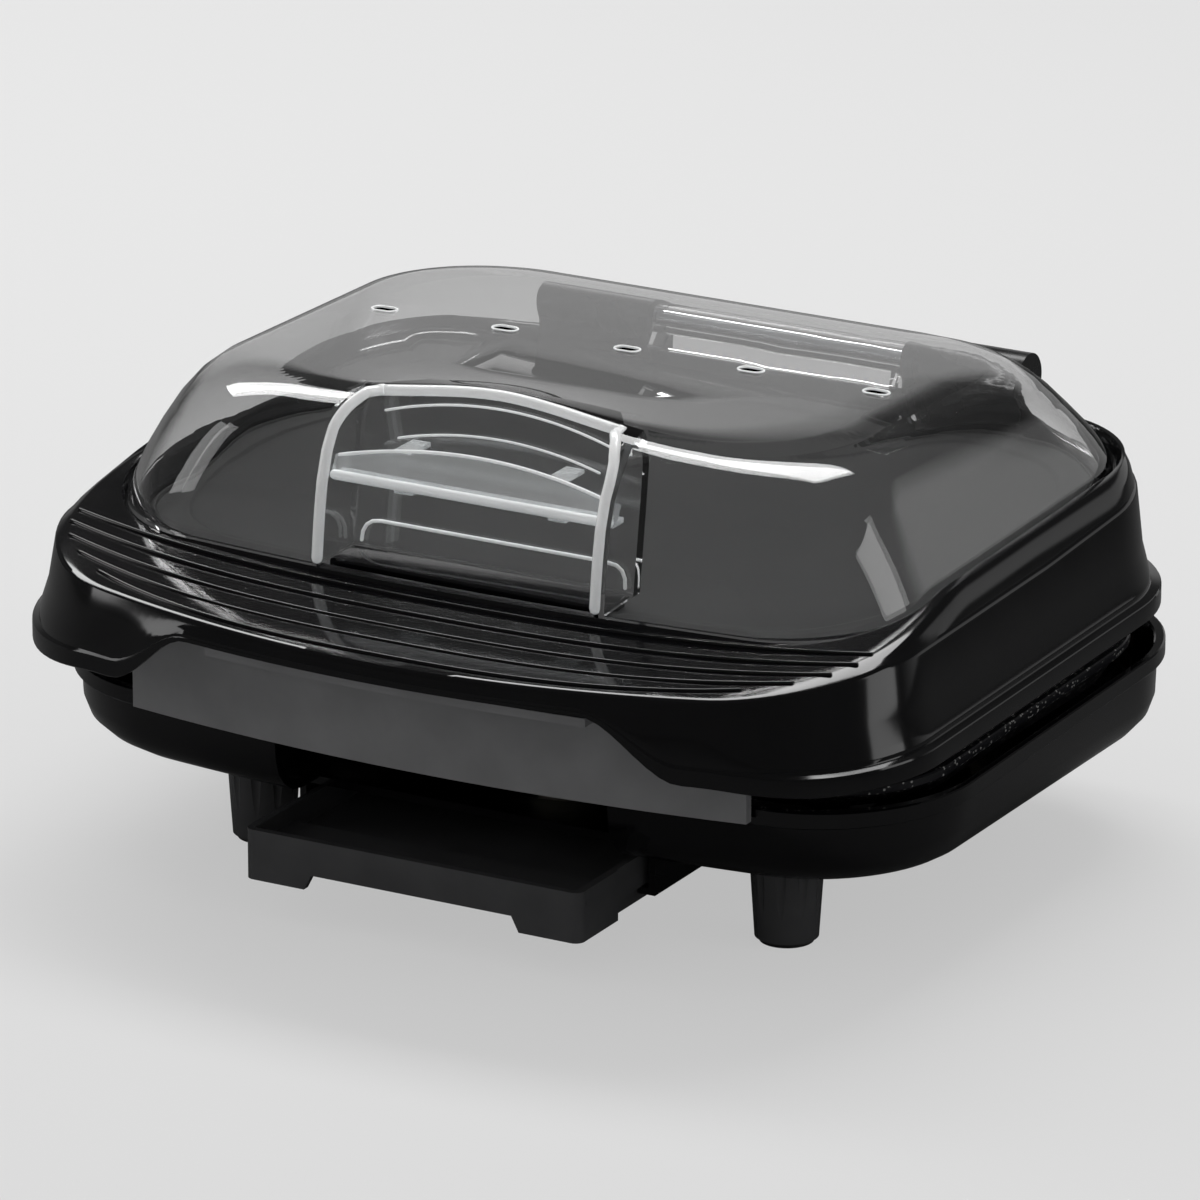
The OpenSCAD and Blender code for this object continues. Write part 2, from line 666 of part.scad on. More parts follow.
// Clear barrel of the dome's hinge. A web along the dome's rear wall and two end plates carry it.
module lid_barrel() {
    wall_y = function(z) 114.63 - 0.5 * (z - 115.6);
    color(clear) difference() {
        union() {
            along_x(-43.6, 43.6, 6.2, lid_axis_y, lid_axis_z);
            for (s = [-1, 1]) translate([s * 41.8 - 1.8, 0, 0]) rotate([90, 0, 90]) linear_extrude(3.6)
                polygon([[wall_y(116.2), 116.2], [118.5, 117], [lid_axis_y, 120], [lid_axis_y, 126],
                    [wall_y(119.3), 119.3]]);
            translate([-43, 0, 0]) rotate([90, 0, 90]) linear_extrude(86)
                polygon([[wall_y(116.2), 116.2], [wall_y(116.2) + 1.6, 116.2], [lid_axis_y - 5, 123],
                    [lid_axis_y - 5, 127], [wall_y(119.3), 119.3]]);
        }
        along_x(-50, 50, 2, lid_axis_y, lid_axis_z);
    }
}

// Crescent-shaped clear bar across the recess, leaning back, on four tabs
module lid_grip() {
    half = recess_half_w - 0.1;
    end_h = 6;
    rise = 6;
    top_edge = [for (k = [-8:8]) let (u = k / 8) [half * u, end_h + rise * (1 - u * u)]];
    color(clear) {
        translate([0, -71.5, 130]) rotate([63, 0, 0]) linear_extrude(3)
            polygon(concat([[-half, 0]], top_edge, [[half, 0]]));
        // shelf along the lower edge
        translate([0.4 - half, -72.8, 129.4]) cube([2 * half - 0.8, 6.2, 1.6]);
        wall_y = function(z) recess_foot_y - 0.01 + tan(recess_lean) * (z - recess_foot_z);
        for (x = [-29, 23]) {
            translate([x, -67.6, 138.6]) cube([6, 67.6 + wall_y(138.6), 1.3]);
            translate([x, -68, 126.4]) cube([6, 68 + wall_y(126.4), 1.3]);
            translate([x, -68, 126.4]) cube([6, 1.3, 3.6]);
        }
    }
}

// ---- screws ----------------------------------------------------------------------------------

module screw(r, len) {
    cylinder(r = 2 * r, h = 1.8, $fn = 24);
    translate([0, 0, 1.8]) cylinder(r = r, h = len, $fn = 24);
}

module base_screws() {
    color(steel) for (x = [-foot_x, foot_x], y = [foot_front_y, foot_rear_y])
        translate([x, y, base_floor_z + wall + 1.8]) mirror([0, 0, 1]) screw(1.6, 10);
}

module cover_screws() {
    color(steel) for (s = [-1, 1], z = cover_screw_z)
        translate([s * guide_x, cover_screw_y, z]) rotate([-90, 0, 0]) screw(1.4, 12);
}

lower_housing();
lower_plate();
lower_heater();
lower_reflector();
plate_clips_lower();
foot_front_left();
foot_front_right();
foot_rear_left();
foot_rear_right();
foot_pads();
tray_rail_left();
tray_rail_right();
hinge_guide_left();
hinge_guide_right();
cord_inlet();
terminal_block();
thermostat();
thermal_fuse();
lower_wires();
base_screws();
hinge_yoke_left();
hinge_yoke_right();
upper_housing();
front_apron();
warming_tray();
upper_plate();
upper_heater();
upper_reflector();
plate_clips_upper();
hinge_arm_left();
hinge_arm_right();
hinge_pins();
lid_hinge_block_left();
lid_hinge_block_right();
lid_hinge_pin();
cover_screws();
dome_lid();
lid_barrel();
lid_grip();
drip_tray();
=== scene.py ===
"""Electric indoor grill: a glossy black contact grill under a hinged clear dome.

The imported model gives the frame: its bodies, joints and every exact part. This script models the
moulded shells again with smooth surfaces in the same places, dresses every part and sets the camera.
Sizes in the classes are millimetres and become metres where a mesh is made.
"""

import logging
import math
from dataclasses import dataclass, replace
from enum import Enum
from typing import Callable, Iterable, Optional, Sequence, Union

import bmesh
import bpy
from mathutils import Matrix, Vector
from mathutils.bvhtree import BVHTree

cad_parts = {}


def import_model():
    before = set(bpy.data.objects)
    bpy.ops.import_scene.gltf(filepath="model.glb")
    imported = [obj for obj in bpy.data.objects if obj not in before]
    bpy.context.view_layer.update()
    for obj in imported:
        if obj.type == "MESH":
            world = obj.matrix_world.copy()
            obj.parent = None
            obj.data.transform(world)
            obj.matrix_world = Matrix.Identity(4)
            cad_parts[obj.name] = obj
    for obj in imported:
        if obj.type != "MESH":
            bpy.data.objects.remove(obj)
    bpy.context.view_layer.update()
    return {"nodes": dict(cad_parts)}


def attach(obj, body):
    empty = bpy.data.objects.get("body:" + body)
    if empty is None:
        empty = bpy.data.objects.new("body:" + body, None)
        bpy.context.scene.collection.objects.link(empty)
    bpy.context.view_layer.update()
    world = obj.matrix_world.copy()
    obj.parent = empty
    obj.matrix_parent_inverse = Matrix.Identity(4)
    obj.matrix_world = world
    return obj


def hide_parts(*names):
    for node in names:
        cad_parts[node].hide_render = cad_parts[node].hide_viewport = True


MM = 0.001
LOG = logging.getLogger("grill")
# Places (x, y) of the posts under the lower reflector and the warming floor, in mm.
POSTS = ((-96, -38), (-96, 52), (96, -38), (96, 52))
# How far the main hinge's two sides lie from the middle, in mm.
HINGE_X = 94
# A tube's rounded end: how far each ring lies past the end, and its radius, as shares of the tube's.
TUBE_END = ((0.95, 0.3), (0.6, 0.8))
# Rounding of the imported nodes: its radius in mm, and the least angle of a rounded edge in degrees.
EDGE_RADIUS = 0.35
EDGE_ANGLE = 50
# Where the rays that look for the dome's skin start: above it and before it, in metres.
RAY_TOP = 0.3
RAY_FRONT = -0.2

Object = bpy.types.Object
Material = bpy.types.Material
Tree = bpy.types.NodeTree
Node = bpy.types.Node
Socket = bpy.types.NodeSocket
Value = Union[Socket, float]
Point2 = tuple[float, float]
Point3 = tuple[float, float, float]
Height = Callable[[float, float], float]


class Body(Enum):
    """The rigid bodies that the pieces made here ride on."""

    BASE = "base"
    COVER = "cover"
    LID = "lid"


class Join(Enum):
    """What a tool object does to the object that it meets."""

    ADD = "UNION"
    CUT = "DIFFERENCE"
    KEEP_SHARED = "INTERSECT"


# ---------------------------------------------------------------------------- colour and nodes


def srgb(hex_code: str) -> tuple[float, float, float, float]:
    """Turns an sRGB hex colour into linear RGBA.

    Args:
        hex_code: six hex digits, such as "3a3a3a".

    Returns:
        Linear red, green, blue and an alpha of 1.
    """
    channels = [int(hex_code[i : i + 2], 16) / 255 for i in (0, 2, 4)]
    linear = [c / 12.92 if c <= 0.04045 else ((c + 0.055) / 1.055) ** 2.4 for c in channels]
    return (linear[0], linear[1], linear[2], 1.0)


def per_mm(size: float) -> float:
    """Gives the texture scale, in waves per metre, of a pattern whose features are `size` mm wide."""
    return 1.0 / (size * MM)


def add_node(tree: Tree, kind: str, settings: Optional[dict] = None, **inputs: object) -> Node:
    """Adds a shader node.

    Args:
        tree: the material's node tree.
        kind: the node's type name, such as "ShaderNodeBump".
        settings: attributes of the node to set.
        inputs: input sockets by name, with spaces as underscores, or by number after an underscore; a
            socket is linked and anything else is set as a value.

    Returns:
        The new node.
    """
    node = tree.nodes.new(kind)
    for name, value in (settings or {}).items():
        setattr(node, name, value)
    for name, value in inputs.items():
        socket = node.inputs[int(name[1:])] if name[0] == "_" else node.inputs[name.replace("_", " ")]
        if isinstance(value, Socket):
            tree.links.new(value, socket)
        else:
            socket.default_value = value
    return node


def ramp(tree: Tree, fac: Socket, stops: Sequence[tuple[float, tuple]]) -> Socket:
    """Maps a factor through a colour ramp.

    Args:
        tree: the material's node tree.
        fac: the socket to map.
        stops: position and RGBA of each stop, in order.

    Returns:
        The ramp's colour socket.
    """
    node = add_node(tree, "ShaderNodeValToRGB", Fac=fac)
    elements = node.color_ramp.elements
    while len(elements) < len(stops):
        elements.new(0.5)
    for element, (position, colour) in zip(elements, stops):
        element.position = position
        element.color = colour
    return node.outputs["Color"]


def calc(tree: Tree, operation: str, first: Value, second: Value) -> Socket:
    """Adds a maths node.

    Args:
        tree: the material's node tree.
        operation: the node's operation, such as "MULTIPLY".
        first: a socket or a number.
        second: the same.

    Returns:
        The node's result.
    """
    node = add_node(tree, "ShaderNodeMath", {"operation": operation}, _0=first, _1=second)
    return node.outputs["Value"]


def scale(tree: Tree, value: Socket, **ends: float) -> Socket:
    """Adds a map range node.

    Args:
        tree: the material's node tree.
        value: the socket to map.
        ends: From_Min, From_Max, To_Min and To_Max, each 0 or 1 if left out.

    Returns:
        The mapped value.
    """
    return add_node(tree, "ShaderNodeMapRange", Value=value, **ends).outputs["Result"]


def blend(tree: Tree, share: Socket, first: Node, second: Node) -> Node:
    """Mixes two shaders.

    Args:
        tree: the material's node tree.
        share: 0 for the first shader and 1 for the second.
        first: a shader node.
        second: the same.

    Returns:
        The mixing node.
    """
    return add_node(tree, "ShaderNodeMixShader", _0=share, _1=first.outputs[0], _2=second.outputs[0])


def noise(tree: Tree, place: Socket, size: float, detail: float = 2.0) -> Socket:
    """Adds a noise texture.

    Args:
        tree: the material's node tree.
        place: the coordinates.
        size: width of its features in mm.
        detail: its number of finer layers.

    Returns:
        The noise, about 0.5.
    """
    node = add_node(tree, "ShaderNodeTexNoise", Vector=place, Scale=per_mm(size), Detail=detail)
    return node.outputs["Fac"]


def emboss(tree: Tree, shader: Node, height: Socket, strength: float, depth: float) -> None:
    """Gives a shader a relief.

    Args:
        tree: the material's node tree.
        shader: the shader with a normal to bend.
        height: the relief's height.
        strength: the relief's strength, from 0 to 1.
        depth: its depth in mm.
    """
    bump = add_node(tree, "ShaderNodeBump", Strength=strength, Distance=depth * MM, Height=height)
    tree.links.new(bump.outputs["Normal"], shader.inputs["Normal"])


@dataclass(frozen=True)
class Finish:
    """A surface finish: a moulded, cast or drawn material with its fine relief."""

    name: str
    colour: str
    second_colour: str
    roughness: float
    roughness_spread: float = 0.05
    metallic: float = 0.0
    ior: float = 1.5
    specular: float = 0.5
    grain_mm: float = 1.0
    relief: float = 0.05
    relief_mm: float = 0.02
    wear_mm: float = 18.0

    def start(self) -> tuple[Material, Tree, Node, Socket]:
        """Makes the material with its shader and object coordinates.

        Returns:
            The material, its tree, its Principled shader and the coordinates socket.
        """
        material = bpy.data.materials.new(self.name)
        material.use_nodes = True
        tree = material.node_tree
        tree.nodes.clear()
        shader = add_node(tree, "ShaderNodeBsdfPrincipled")
        shader.inputs["Metallic"].default_value = self.metallic
        if not self.metallic:
            shader.inputs["IOR"].default_value = self.ior
            shader.inputs["Specular IOR Level"].default_value = self.specular
        add_node(tree, "ShaderNodeOutputMaterial", Surface=shader.outputs["BSDF"])
        place = add_node(tree, "ShaderNodeTexCoord").outputs["Object"]
        return material, tree, shader, place

    def spread(self, tree: Tree, shader: Node, fac: Socket) -> None:
        """Varies colour and roughness with a noise factor.

        Args:
            tree: the material's node tree.
            shader: the Principled shader.
            fac: the factor, from 0 to 1.
        """
        colour = ramp(tree, fac, [(0.3, srgb(self.colour)), (0.7, srgb(self.second_colour))])
        low = max(0.0, self.roughness - self.roughness_spread)
        rough = scale(tree, fac, To_Min=low, To_Max=self.roughness + self.roughness_spread)
        tree.links.new(colour, shader.inputs["Base Color"])
        tree.links.new(rough, shader.inputs["Roughness"])

    def build(self) -> Material:
        """Makes the material: a slow drift in tone and a fine grain in the relief.

        Returns:
            The material.
        """
        material, tree, shader, place = self.start()
        self.spread(tree, shader, noise(tree, place, self.wear_mm, 4.0))
        emboss(tree, shader, noise(tree, place, self.grain_mm, 3.0), self.relief, self.relief_mm)
        return material


@dataclass(frozen=True)
class SpeckledFinish(Finish):
    """Non-stick coating with pale mineral flecks in a dark ground."""

    fleck_mm: float = 1.3
    fleck_reach: float = 0.3
    rarity: float = 0.62

    def build(self) -> Material:
        """Makes the coating: scattered flecks over the ground, and a pebbled relief.

        Returns:
            The material.
        """
        material, tree, shader, place = self.start()
        cells = add_node(tree, "ShaderNodeTexVoronoi", Vector=place, Scale=per_mm(self.fleck_mm))
        chance = add_node(tree, "ShaderNodeSeparateColor", Color=cells.outputs["Color"]).outputs["Red"]
        near = calc(tree, "LESS_THAN", cells.outputs["Distance"], self.fleck_reach)
        rare = calc(tree, "GREATER_THAN", chance, self.rarity)
        mix = add_node(tree, "ShaderNodeMix", {"data_type": "RGBA"}, _0=calc(tree, "MULTIPLY", near, rare))
        mix.inputs[6].default_value = srgb(self.colour)
        mix.inputs[7].default_value = srgb(self.second_colour)
        tree.links.new(mix.outputs[2], shader.inputs["Base Color"])
        drift, spread = noise(tree, place, self.wear_mm), self.roughness_spread
        rough = scale(tree, drift, To_Min=self.roughness - spread, To_Max=self.roughness + spread)
        tree.links.new(rough, shader.inputs["Roughness"])
        emboss(tree, shader, noise(tree, place, self.grain_mm), self.relief, self.relief_mm)
        return material


@dataclass(frozen=True)
class ClearFinish(Finish):
    """Clear moulded plastic that lets light through to what it covers."""

    ior: float = 1.585
    grain_mm: float = 60.0
    relief: float = 0.02
    relief_mm: float = 0.2
    clear: float = 1.0

    def build(self) -> Material:
        """Makes the clear plastic: refraction for the eye, and a plain tint for shadow rays.

        Returns:
            The material.
        """
        material, tree, shader, place = self.start()
        shader.inputs["Base Color"].default_value = srgb(self.colour)
        shader.inputs["Transmission Weight"].default_value = self.clear
        rough = scale(tree, noise(tree, place, self.wear_mm), To_Max=self.roughness)
        tree.links.new(rough, shader.inputs["Roughness"])
        emboss(tree, shader, noise(tree, place, self.grain_mm), self.relief, self.relief_mm)
        pass_through = add_node(tree, "ShaderNodeBsdfTransparent", Color=srgb(self.second_colour))
        light = add_node(tree, "ShaderNodeLightPath")
        mix = blend(tree, light.outputs["Is Shadow Ray"], shader, pass_through)
        add_node(tree, "ShaderNodeOutputMaterial", Surface=mix.outputs["Shader"]).is_active_output = True
        return material


class Finishes:
    """Every finish of the grill, made once."""

    def __init__(self) -> None:
        """Makes the materials."""
        # Injection-moulded ABS, tool-polished: near black with hard, faintly rippled reflections.
        self.gloss_abs = Finish(
            "gloss_black_abs", "040405", "070708", 0.1, 0.03, ior=1.53, grain_mm=30, relief=0.02,
            relief_mm=0.05
        ).build()
        # Apron: the same black polished ABS as the housings, painted a step lighter grey as a painted
        # reflection of the pale floor and lamps.
        self.apron_painted_reflection_abs = Finish(
            "gloss_abs_painted_reflection", "626263", "6b6b6c", 0.12, 0.03, ior=1.53, grain_mm=30, relief=0.02,
            relief_mm=0.05
        ).build()
        # The same ABS on hidden and small mouldings, a little duller from the as-cut tool.
        self.satin_abs = Finish(
            "satin_black_abs", "0b0b0c", "101011", 0.28, 0.06, ior=1.53, specular=0.4, grain_mm=0.6,
            relief=0.12
        ).build()
        # Tray and feet: black ABS from a lightly blasted tool, painted a lighter grey that stands in for
        # the lamp light and floor reflection on their faces.
        self.blasted_abs_painted_light = Finish(
            "blasted_black_abs_painted_light", "383839", "404041", 0.24, 0.05, ior=1.53, grain_mm=0.5, relief=0.1
        ).build()
        # Spark-eroded PBT floor: an even matt grey that hides grease.
        self.matt_pbt = Finish(
            "matt_grey_pbt", "262626", "2d2d2d", 0.7, 0.08, ior=1.55, specular=0.08, grain_mm=0.45,
            relief=0.35
        ).build()
        # PTFE coating on cast aluminium: dark and pebbled with pale mineral flecks.
        self.nonstick = SpeckledFinish(
            "speckled_ptfe_coating", "17171a", "8a8a88", 0.36, 0.06, ior=1.38, grain_mm=0.9, relief=0.5,
            relief_mm=0.12
        ).build()
        # Moulded polycarbonate: water clear with bright edges.
        self.clear_pc = ClearFinish("clear_polycarbonate", "fdfdfd", "fafbfb", 0.004, specular=0.2).build()
        # Thick rounded edges of the same plastic, made partly white and opaque: a painted highlight for the
        # light these clear edges catch.
        self.bead_pc_painted_highlight = ClearFinish(
            "polycarbonate_bead_painted_highlight", "ffffff", "f4f6f7", 0.1, specular=0.8, clear=0.3
        ).build()
        # The grip is thicker than the dome; its clear plate is made partly white, a painted sheen for the
        # light that the plate catches.
        self.grip_pc_painted_sheen = ClearFinish(
            "polycarbonate_grip_painted_sheen", "fbfcfc", "e9ecee", 0.05, specular=0.4, clear=0.84
        ).build()
        # Zinc-plated mild steel: bright with a slight cloud.
        self.zinc_steel = Finish(
            "zinc_plated_steel", "b9bcc0", "9da1a6", 0.32, 0.08, metallic=1.0, grain_mm=0.8, relief=0.1
        ).build()
        # Incoloy heater sheath, straw-grey from heat.
        self.heater_sheath = Finish(
            "annealed_incoloy_tube", "6d6660", "4c4845", 0.45, 0.1, metallic=1.0, grain_mm=0.5, relief=0.15
        ).build()
        # Rolled aluminised sheet with a soft mirror.
        self.rolled_sheet = Finish(
            "aluminised_steel_sheet", "c9cacb", "b3b5b7", 0.25, 0.06, metallic=1.0, grain_mm=1.5, relief=0.1
        ).build()
        # Steatite ceramic, glazed: off-white and slightly mottled.
        self.steatite = Finish(
            "glazed_steatite", "ddd6c6", "cfc6b2", 0.3, 0.08, ior=1.6, grain_mm=1.2, relief=0.1
        ).build()
        # Nitrile rubber, moulded: dull black.
        self.nitrile = Finish(
            "nitrile_rubber", "161616", "1f1f1f", 0.75, 0.08, ior=1.52, grain_mm=0.5, relief=0.3
        ).build()
        # Woven glass-fibre sleeve over the inner wires.
        self.glass_sleeve = Finish(
            "glass_fibre_sleeve", "7e1f1a", "9a2d24", 0.6, 0.1, ior=1.5, grain_mm=0.4, relief=0.5
        ).build()


# ---------------------------------------------------------------------------- outlines and lofts


def turns(span: float, steps: int, closed: bool = False) -> list[float]:
    """Gives even angles over a span.

    Args:
        span: the whole angle in radians.
        steps: number of steps in it.
        closed: adds the end of the span.

    Returns:
        The angles from 0.
    """
    return [span * k / steps for k in range(steps + closed)]


def on_circle(x: float, y: float, radius: float, angles: Iterable[float]) -> list[Point2]:
    """Gives points of a circle about (x, y) at the given angles."""
    return [(x + radius * math.cos(q), y + radius * math.sin(q)) for q in angles]


@dataclass(frozen=True)
class Outline:
    """Rounded rectangle whose front edge swells forward, in mm."""

    half_w: float
    front: float
    rear: float
    r_front: float
    r_rear: float
    bow: float = 0.0

    def drawn_in(
        self, side: float, front: Optional[float] = None, rear: Optional[float] = None, grow_r: float = 0.0
    ) -> "Outline":
        """Moves the edges inwards.

        Args:
            side: how far the sides move in.
            front: the same for the front edge; the sides' value if left out.
            rear: the same for the rear edge; the sides' value if left out.
            grow_r: change of both corner radii.

        Returns:
            The smaller outline.
        """
        front = side if front is None else front
        rear = side if rear is None else rear
        return replace(
            self, half_w=self.half_w - side, front=self.front + front, rear=self.rear - rear,
            r_front=self.r_front + grow_r, r_rear=self.r_rear + grow_r
        )

    def points(self) -> list[Point2]:
        """Samples the outline.

        Returns:
            Points anticlockwise from the front left, with the same count for any size.
        """
        w, f, r, a, b = self.half_w, self.front, self.rear, self.r_front, self.r_rear
        front_count, side_count, rear_count = 60, 24, 36
        pts: list[Point2] = []
        pts += [((w - a) * (2 * i / front_count - 1), f) for i in range(front_count)]
        pts += self._arc(w - a, f + a, a, -90)
        pts += [(w, f + a + (r - b - f - a) * i / side_count) for i in range(side_count)]
        pts += self._arc(w - b, r - b, b, 0)
        pts += [((w - b) * (1 - 2 * i / rear_count), r) for i in range(rear_count)]
        pts += self._arc(b - w, r - b, b, 90)
        pts += [(-w, r - b + (f + a - r + b) * i / side_count) for i in range(side_count)]
        pts += self._arc(a - w, f + a, a, 180)
        middle = (f + r) / 2
        return [(x, y - self.bow * (1 - (x / w) ** 2)) if y < middle else (x, y) for x, y in pts]

    @staticmethod
    def _arc(cx: float, cy: float, radius: float, start: float, count: int = 20) -> list[Point2]:
        """Gives a quarter circle that stops short of its end."""
        return on_circle(cx, cy, radius, [math.radians(start + 90 * i / count) for i in range(count)])


def lift(outline: Outline, height: Height) -> list[Point3]:
    """Gives the outline's points at the heights of a function of x and y.

    Args:
        outline: the outline to raise.
        height: the height at (x, y), in mm.

    Returns:
        The points in space.
    """
    return [(x, y, height(x, y)) for x, y in outline.points()]


def stack(outline: Outline, steps: Iterable[tuple]) -> list[list[Point3]]:
    """Gives the rings of a moulding whose sections all follow one outline.

    Args:
        outline: the outline.
        steps: for each ring how far it is drawn in, its height and, if they change, how much the corner
            radii grow.

    Returns:
        The rings, in the order of the steps.
    """
    return [lift(outline.drawn_in(inset, grow_r=sum(grow)), height) for inset, height, *grow in steps]


def make_mesh(name: str, points: Iterable[Point3], faces: Iterable[Sequence[int]]) -> Object:
    """Makes a mesh object from points in mm.

    Args:
        name: the object's name.
        points: vertices in mm.
        faces: vertex indices of each face.

    Returns:
        The new object, linked to the scene.
    """
    mesh = bpy.data.meshes.new(name)
    mesh.from_pydata([(x * MM, y * MM, z * MM) for x, y, z in points], [], [tuple(f) for f in faces])
    mesh.validate()
    obj = bpy.data.objects.new(name, mesh)
    bpy.context.scene.collection.objects.link(obj)
    return obj


def loft(name: str, rings: Sequence[Sequence[Point3]], wrap: bool = False) -> Object:
    """Skins a list of rings.

    Args:
        name: the object's name.
        rings: rings of the same count, the solid lying above the first.
        wrap: joins the last ring to the first; otherwise both are capped.

    Returns:
        The new object.
    """
    n, m = len(rings[0]), len(rings)
    faces: list[Sequence[int]] = []
    for j in range(m if wrap else m - 1):
        a, b = j * n, ((j + 1) % m) * n
        faces += [(a + i, a + (i + 1) % n, b + (i + 1) % n, b + i) for i in range(n)]
    if not wrap:
        faces += [tuple(range(n - 1, -1, -1)), tuple(range((m - 1) * n, m * n))]
    return make_mesh(name, [p for ring in rings for p in ring], faces)


def smooth(obj: Object, angle: float) -> Object:
    """Shades an object smooth, with edges sharper than `angle` degrees kept sharp.

    Args:
        obj: the object to shade.
        angle: the sharpest turn that is shaded smooth, in degrees.

    Returns:
        The same object.
    """
    obj.data.shade_smooth()
    obj.data.set_sharp_from_angle(angle=math.radians(angle))
    return obj


def combine(obj: Object, other: Object, join: Join) -> Object:
    """Applies an exact boolean and removes the other object.

    Args:
        obj: the object that keeps its name.
        other: the tool object.
        join: what the tool does.

    Returns:
        The changed object.
    """
    modifier = obj.modifiers.new("cut", "BOOLEAN")
    modifier.operation = join.value
    modifier.solver = "EXACT"
    modifier.object = other
    graph = bpy.context.evaluated_depsgraph_get()
    mesh = bpy.data.meshes.new_from_object(obj.evaluated_get(graph))
    obj.modifiers.clear()
    obj.data = mesh
    bpy.data.objects.remove(other)
    return obj


def dress(obj: Object, material: Material) -> Object:
    """Gives every face of an object one material.

    Args:
        obj: the object to dress.
        material: its finish.

    Returns:
        The same object.
    """
    obj.data.materials.clear()
    obj.data.materials.append(material)
    return obj


def prism(
    name: str, profile: Sequence[Point2], y0: float, y1: float, lean: float = 0.0,
    pivot: Point2 = (0.0, 0.0)
) -> Object:
    """Extrudes an XZ profile along Y, and can lean it back.

    Args:
        name: the object's name.
        profile: points (x, z), anticlockwise as seen from the front.
        y0: front end in mm.
        y1: rear end in mm.
        lean: angle in degrees that the profile leans back by.
        pivot: (y, z) of the line it leans about.

    Returns:
        The new object.
    """
    n = len(profile)
    c, s = math.cos(math.radians(lean)), math.sin(math.radians(lean))
    flat = [(x, y0, z) for x, z in profile] + [(x, y1, z) for x, z in profile]
    points = []
    for x, y, z in flat:
        dy, dz = y - pivot[0], z - pivot[1]
        points.append((x, pivot[0] + c * dy + s * dz, pivot[1] - s * dy + c * dz))
    faces = [tuple(range(n)), tuple(range(2 * n - 1, n - 1, -1))]
    faces += [(i, i + n, (i + 1) % n + n, (i + 1) % n) for i in range(n)]
    obj = make_mesh(name, points, faces)
    face_outwards(obj)
    return obj


def box(name: str, across: Point2, deep: Point2, high: Point2) -> Object:
    """Makes a box from its ends in x, y and z, in mm."""
    (x0, x1), (z0, z1) = across, high
    return prism(name, [(x0, z0), (x1, z0), (x1, z1), (x0, z1)], *deep)


def face_outwards(obj: Object) -> None:
    """Turns every face of a closed mesh outwards.

    Args:
        obj: the object to change.
    """
    tidy = bmesh.new()
    tidy.from_mesh(obj.data)
    bmesh.ops.recalc_face_normals(tidy, faces=tidy.faces)
    tidy.to_mesh(obj.data)
    tidy.free()


def close_slivers(obj: Object, gap: float = 0.004, shortest: float = 0.002, most_sides: int = 8) -> None:
    """Joins points that booleans left a hair apart, and closes the slits between them.

    Args:
        obj: the object to mend.
        gap: points up to this far apart become one, in mm.
        shortest: edges up to this length go, in mm.
        most_sides: a hole with up to this many sides is filled.
    """
    tidy = bmesh.new()
    tidy.from_mesh(obj.data)
    bmesh.ops.remove_doubles(tidy, verts=tidy.verts, dist=gap * MM)
    bmesh.ops.dissolve_degenerate(tidy, edges=tidy.edges, dist=shortest * MM)
    bmesh.ops.holes_fill(tidy, edges=[e for e in tidy.edges if e.is_boundary], sides=most_sides)
    tidy.to_mesh(obj.data)
    tidy.free()


def tube(name: str, path: Sequence[Point3], radius: float, sides: int = 12) -> Object:
    """Sweeps a circle along a path, with rounded ends.

    Args:
        name: the object's name.
        path: centre line in mm.
        radius: radius in mm.
        sides: sides of the circle.

    Returns:
        The new object.
    """
    spine = [Vector(p) for p in path]
    rings: list[list[Point3]] = []
    stations: list[tuple[Vector, Vector, float]] = []
    for i, p in enumerate(spine):
        ahead = (spine[min(i + 1, len(spine) - 1)] - spine[max(i - 1, 0)]).normalized()
        if i == 0:
            stations += [(p - ahead * radius * past, ahead, radius * share) for past, share in TUBE_END]
        stations.append((p, ahead, radius))
        if i == len(spine) - 1:
            stations += [
                (p + ahead * radius * past, ahead, radius * share) for past, share in TUBE_END[::-1]
            ]
    for centre, ahead, r in stations:
        side = ahead.cross(Vector((0, 0, 1))).normalized()
        up = side.cross(ahead)
        circle = on_circle(0, 0, r, turns(2 * math.pi, sides))
        rings.append([tuple(centre + side * u + up * v) for u, v in circle])
    obj = loft(name, rings)
    face_outwards(obj)
    return smooth(obj, 60)


def post(name: str, x: float, y: float, z0: float, z1: float, radius: float = 3.0) -> Object:
    """Makes an upright round post.

    Args:
        name: the object's name.
        x: place of its middle in mm.
        y: the same.
        z0: height of its foot.
        z1: height of its top.
        radius: its radius.

    Returns:
        The new object.
    """
    circle = on_circle(x, y, radius, turns(2 * math.pi, 24))
    return loft(name, [[(px, py, z) for px, py in circle] for z in (z0, z1)])


def ease(t: float) -> float:
    """Eases from 0 to 1 with level ends."""
    t = min(1.0, max(0.0, t))
    return t * t * (3 - 2 * t)


# ---------------------------------------------------------------------------- shared heights


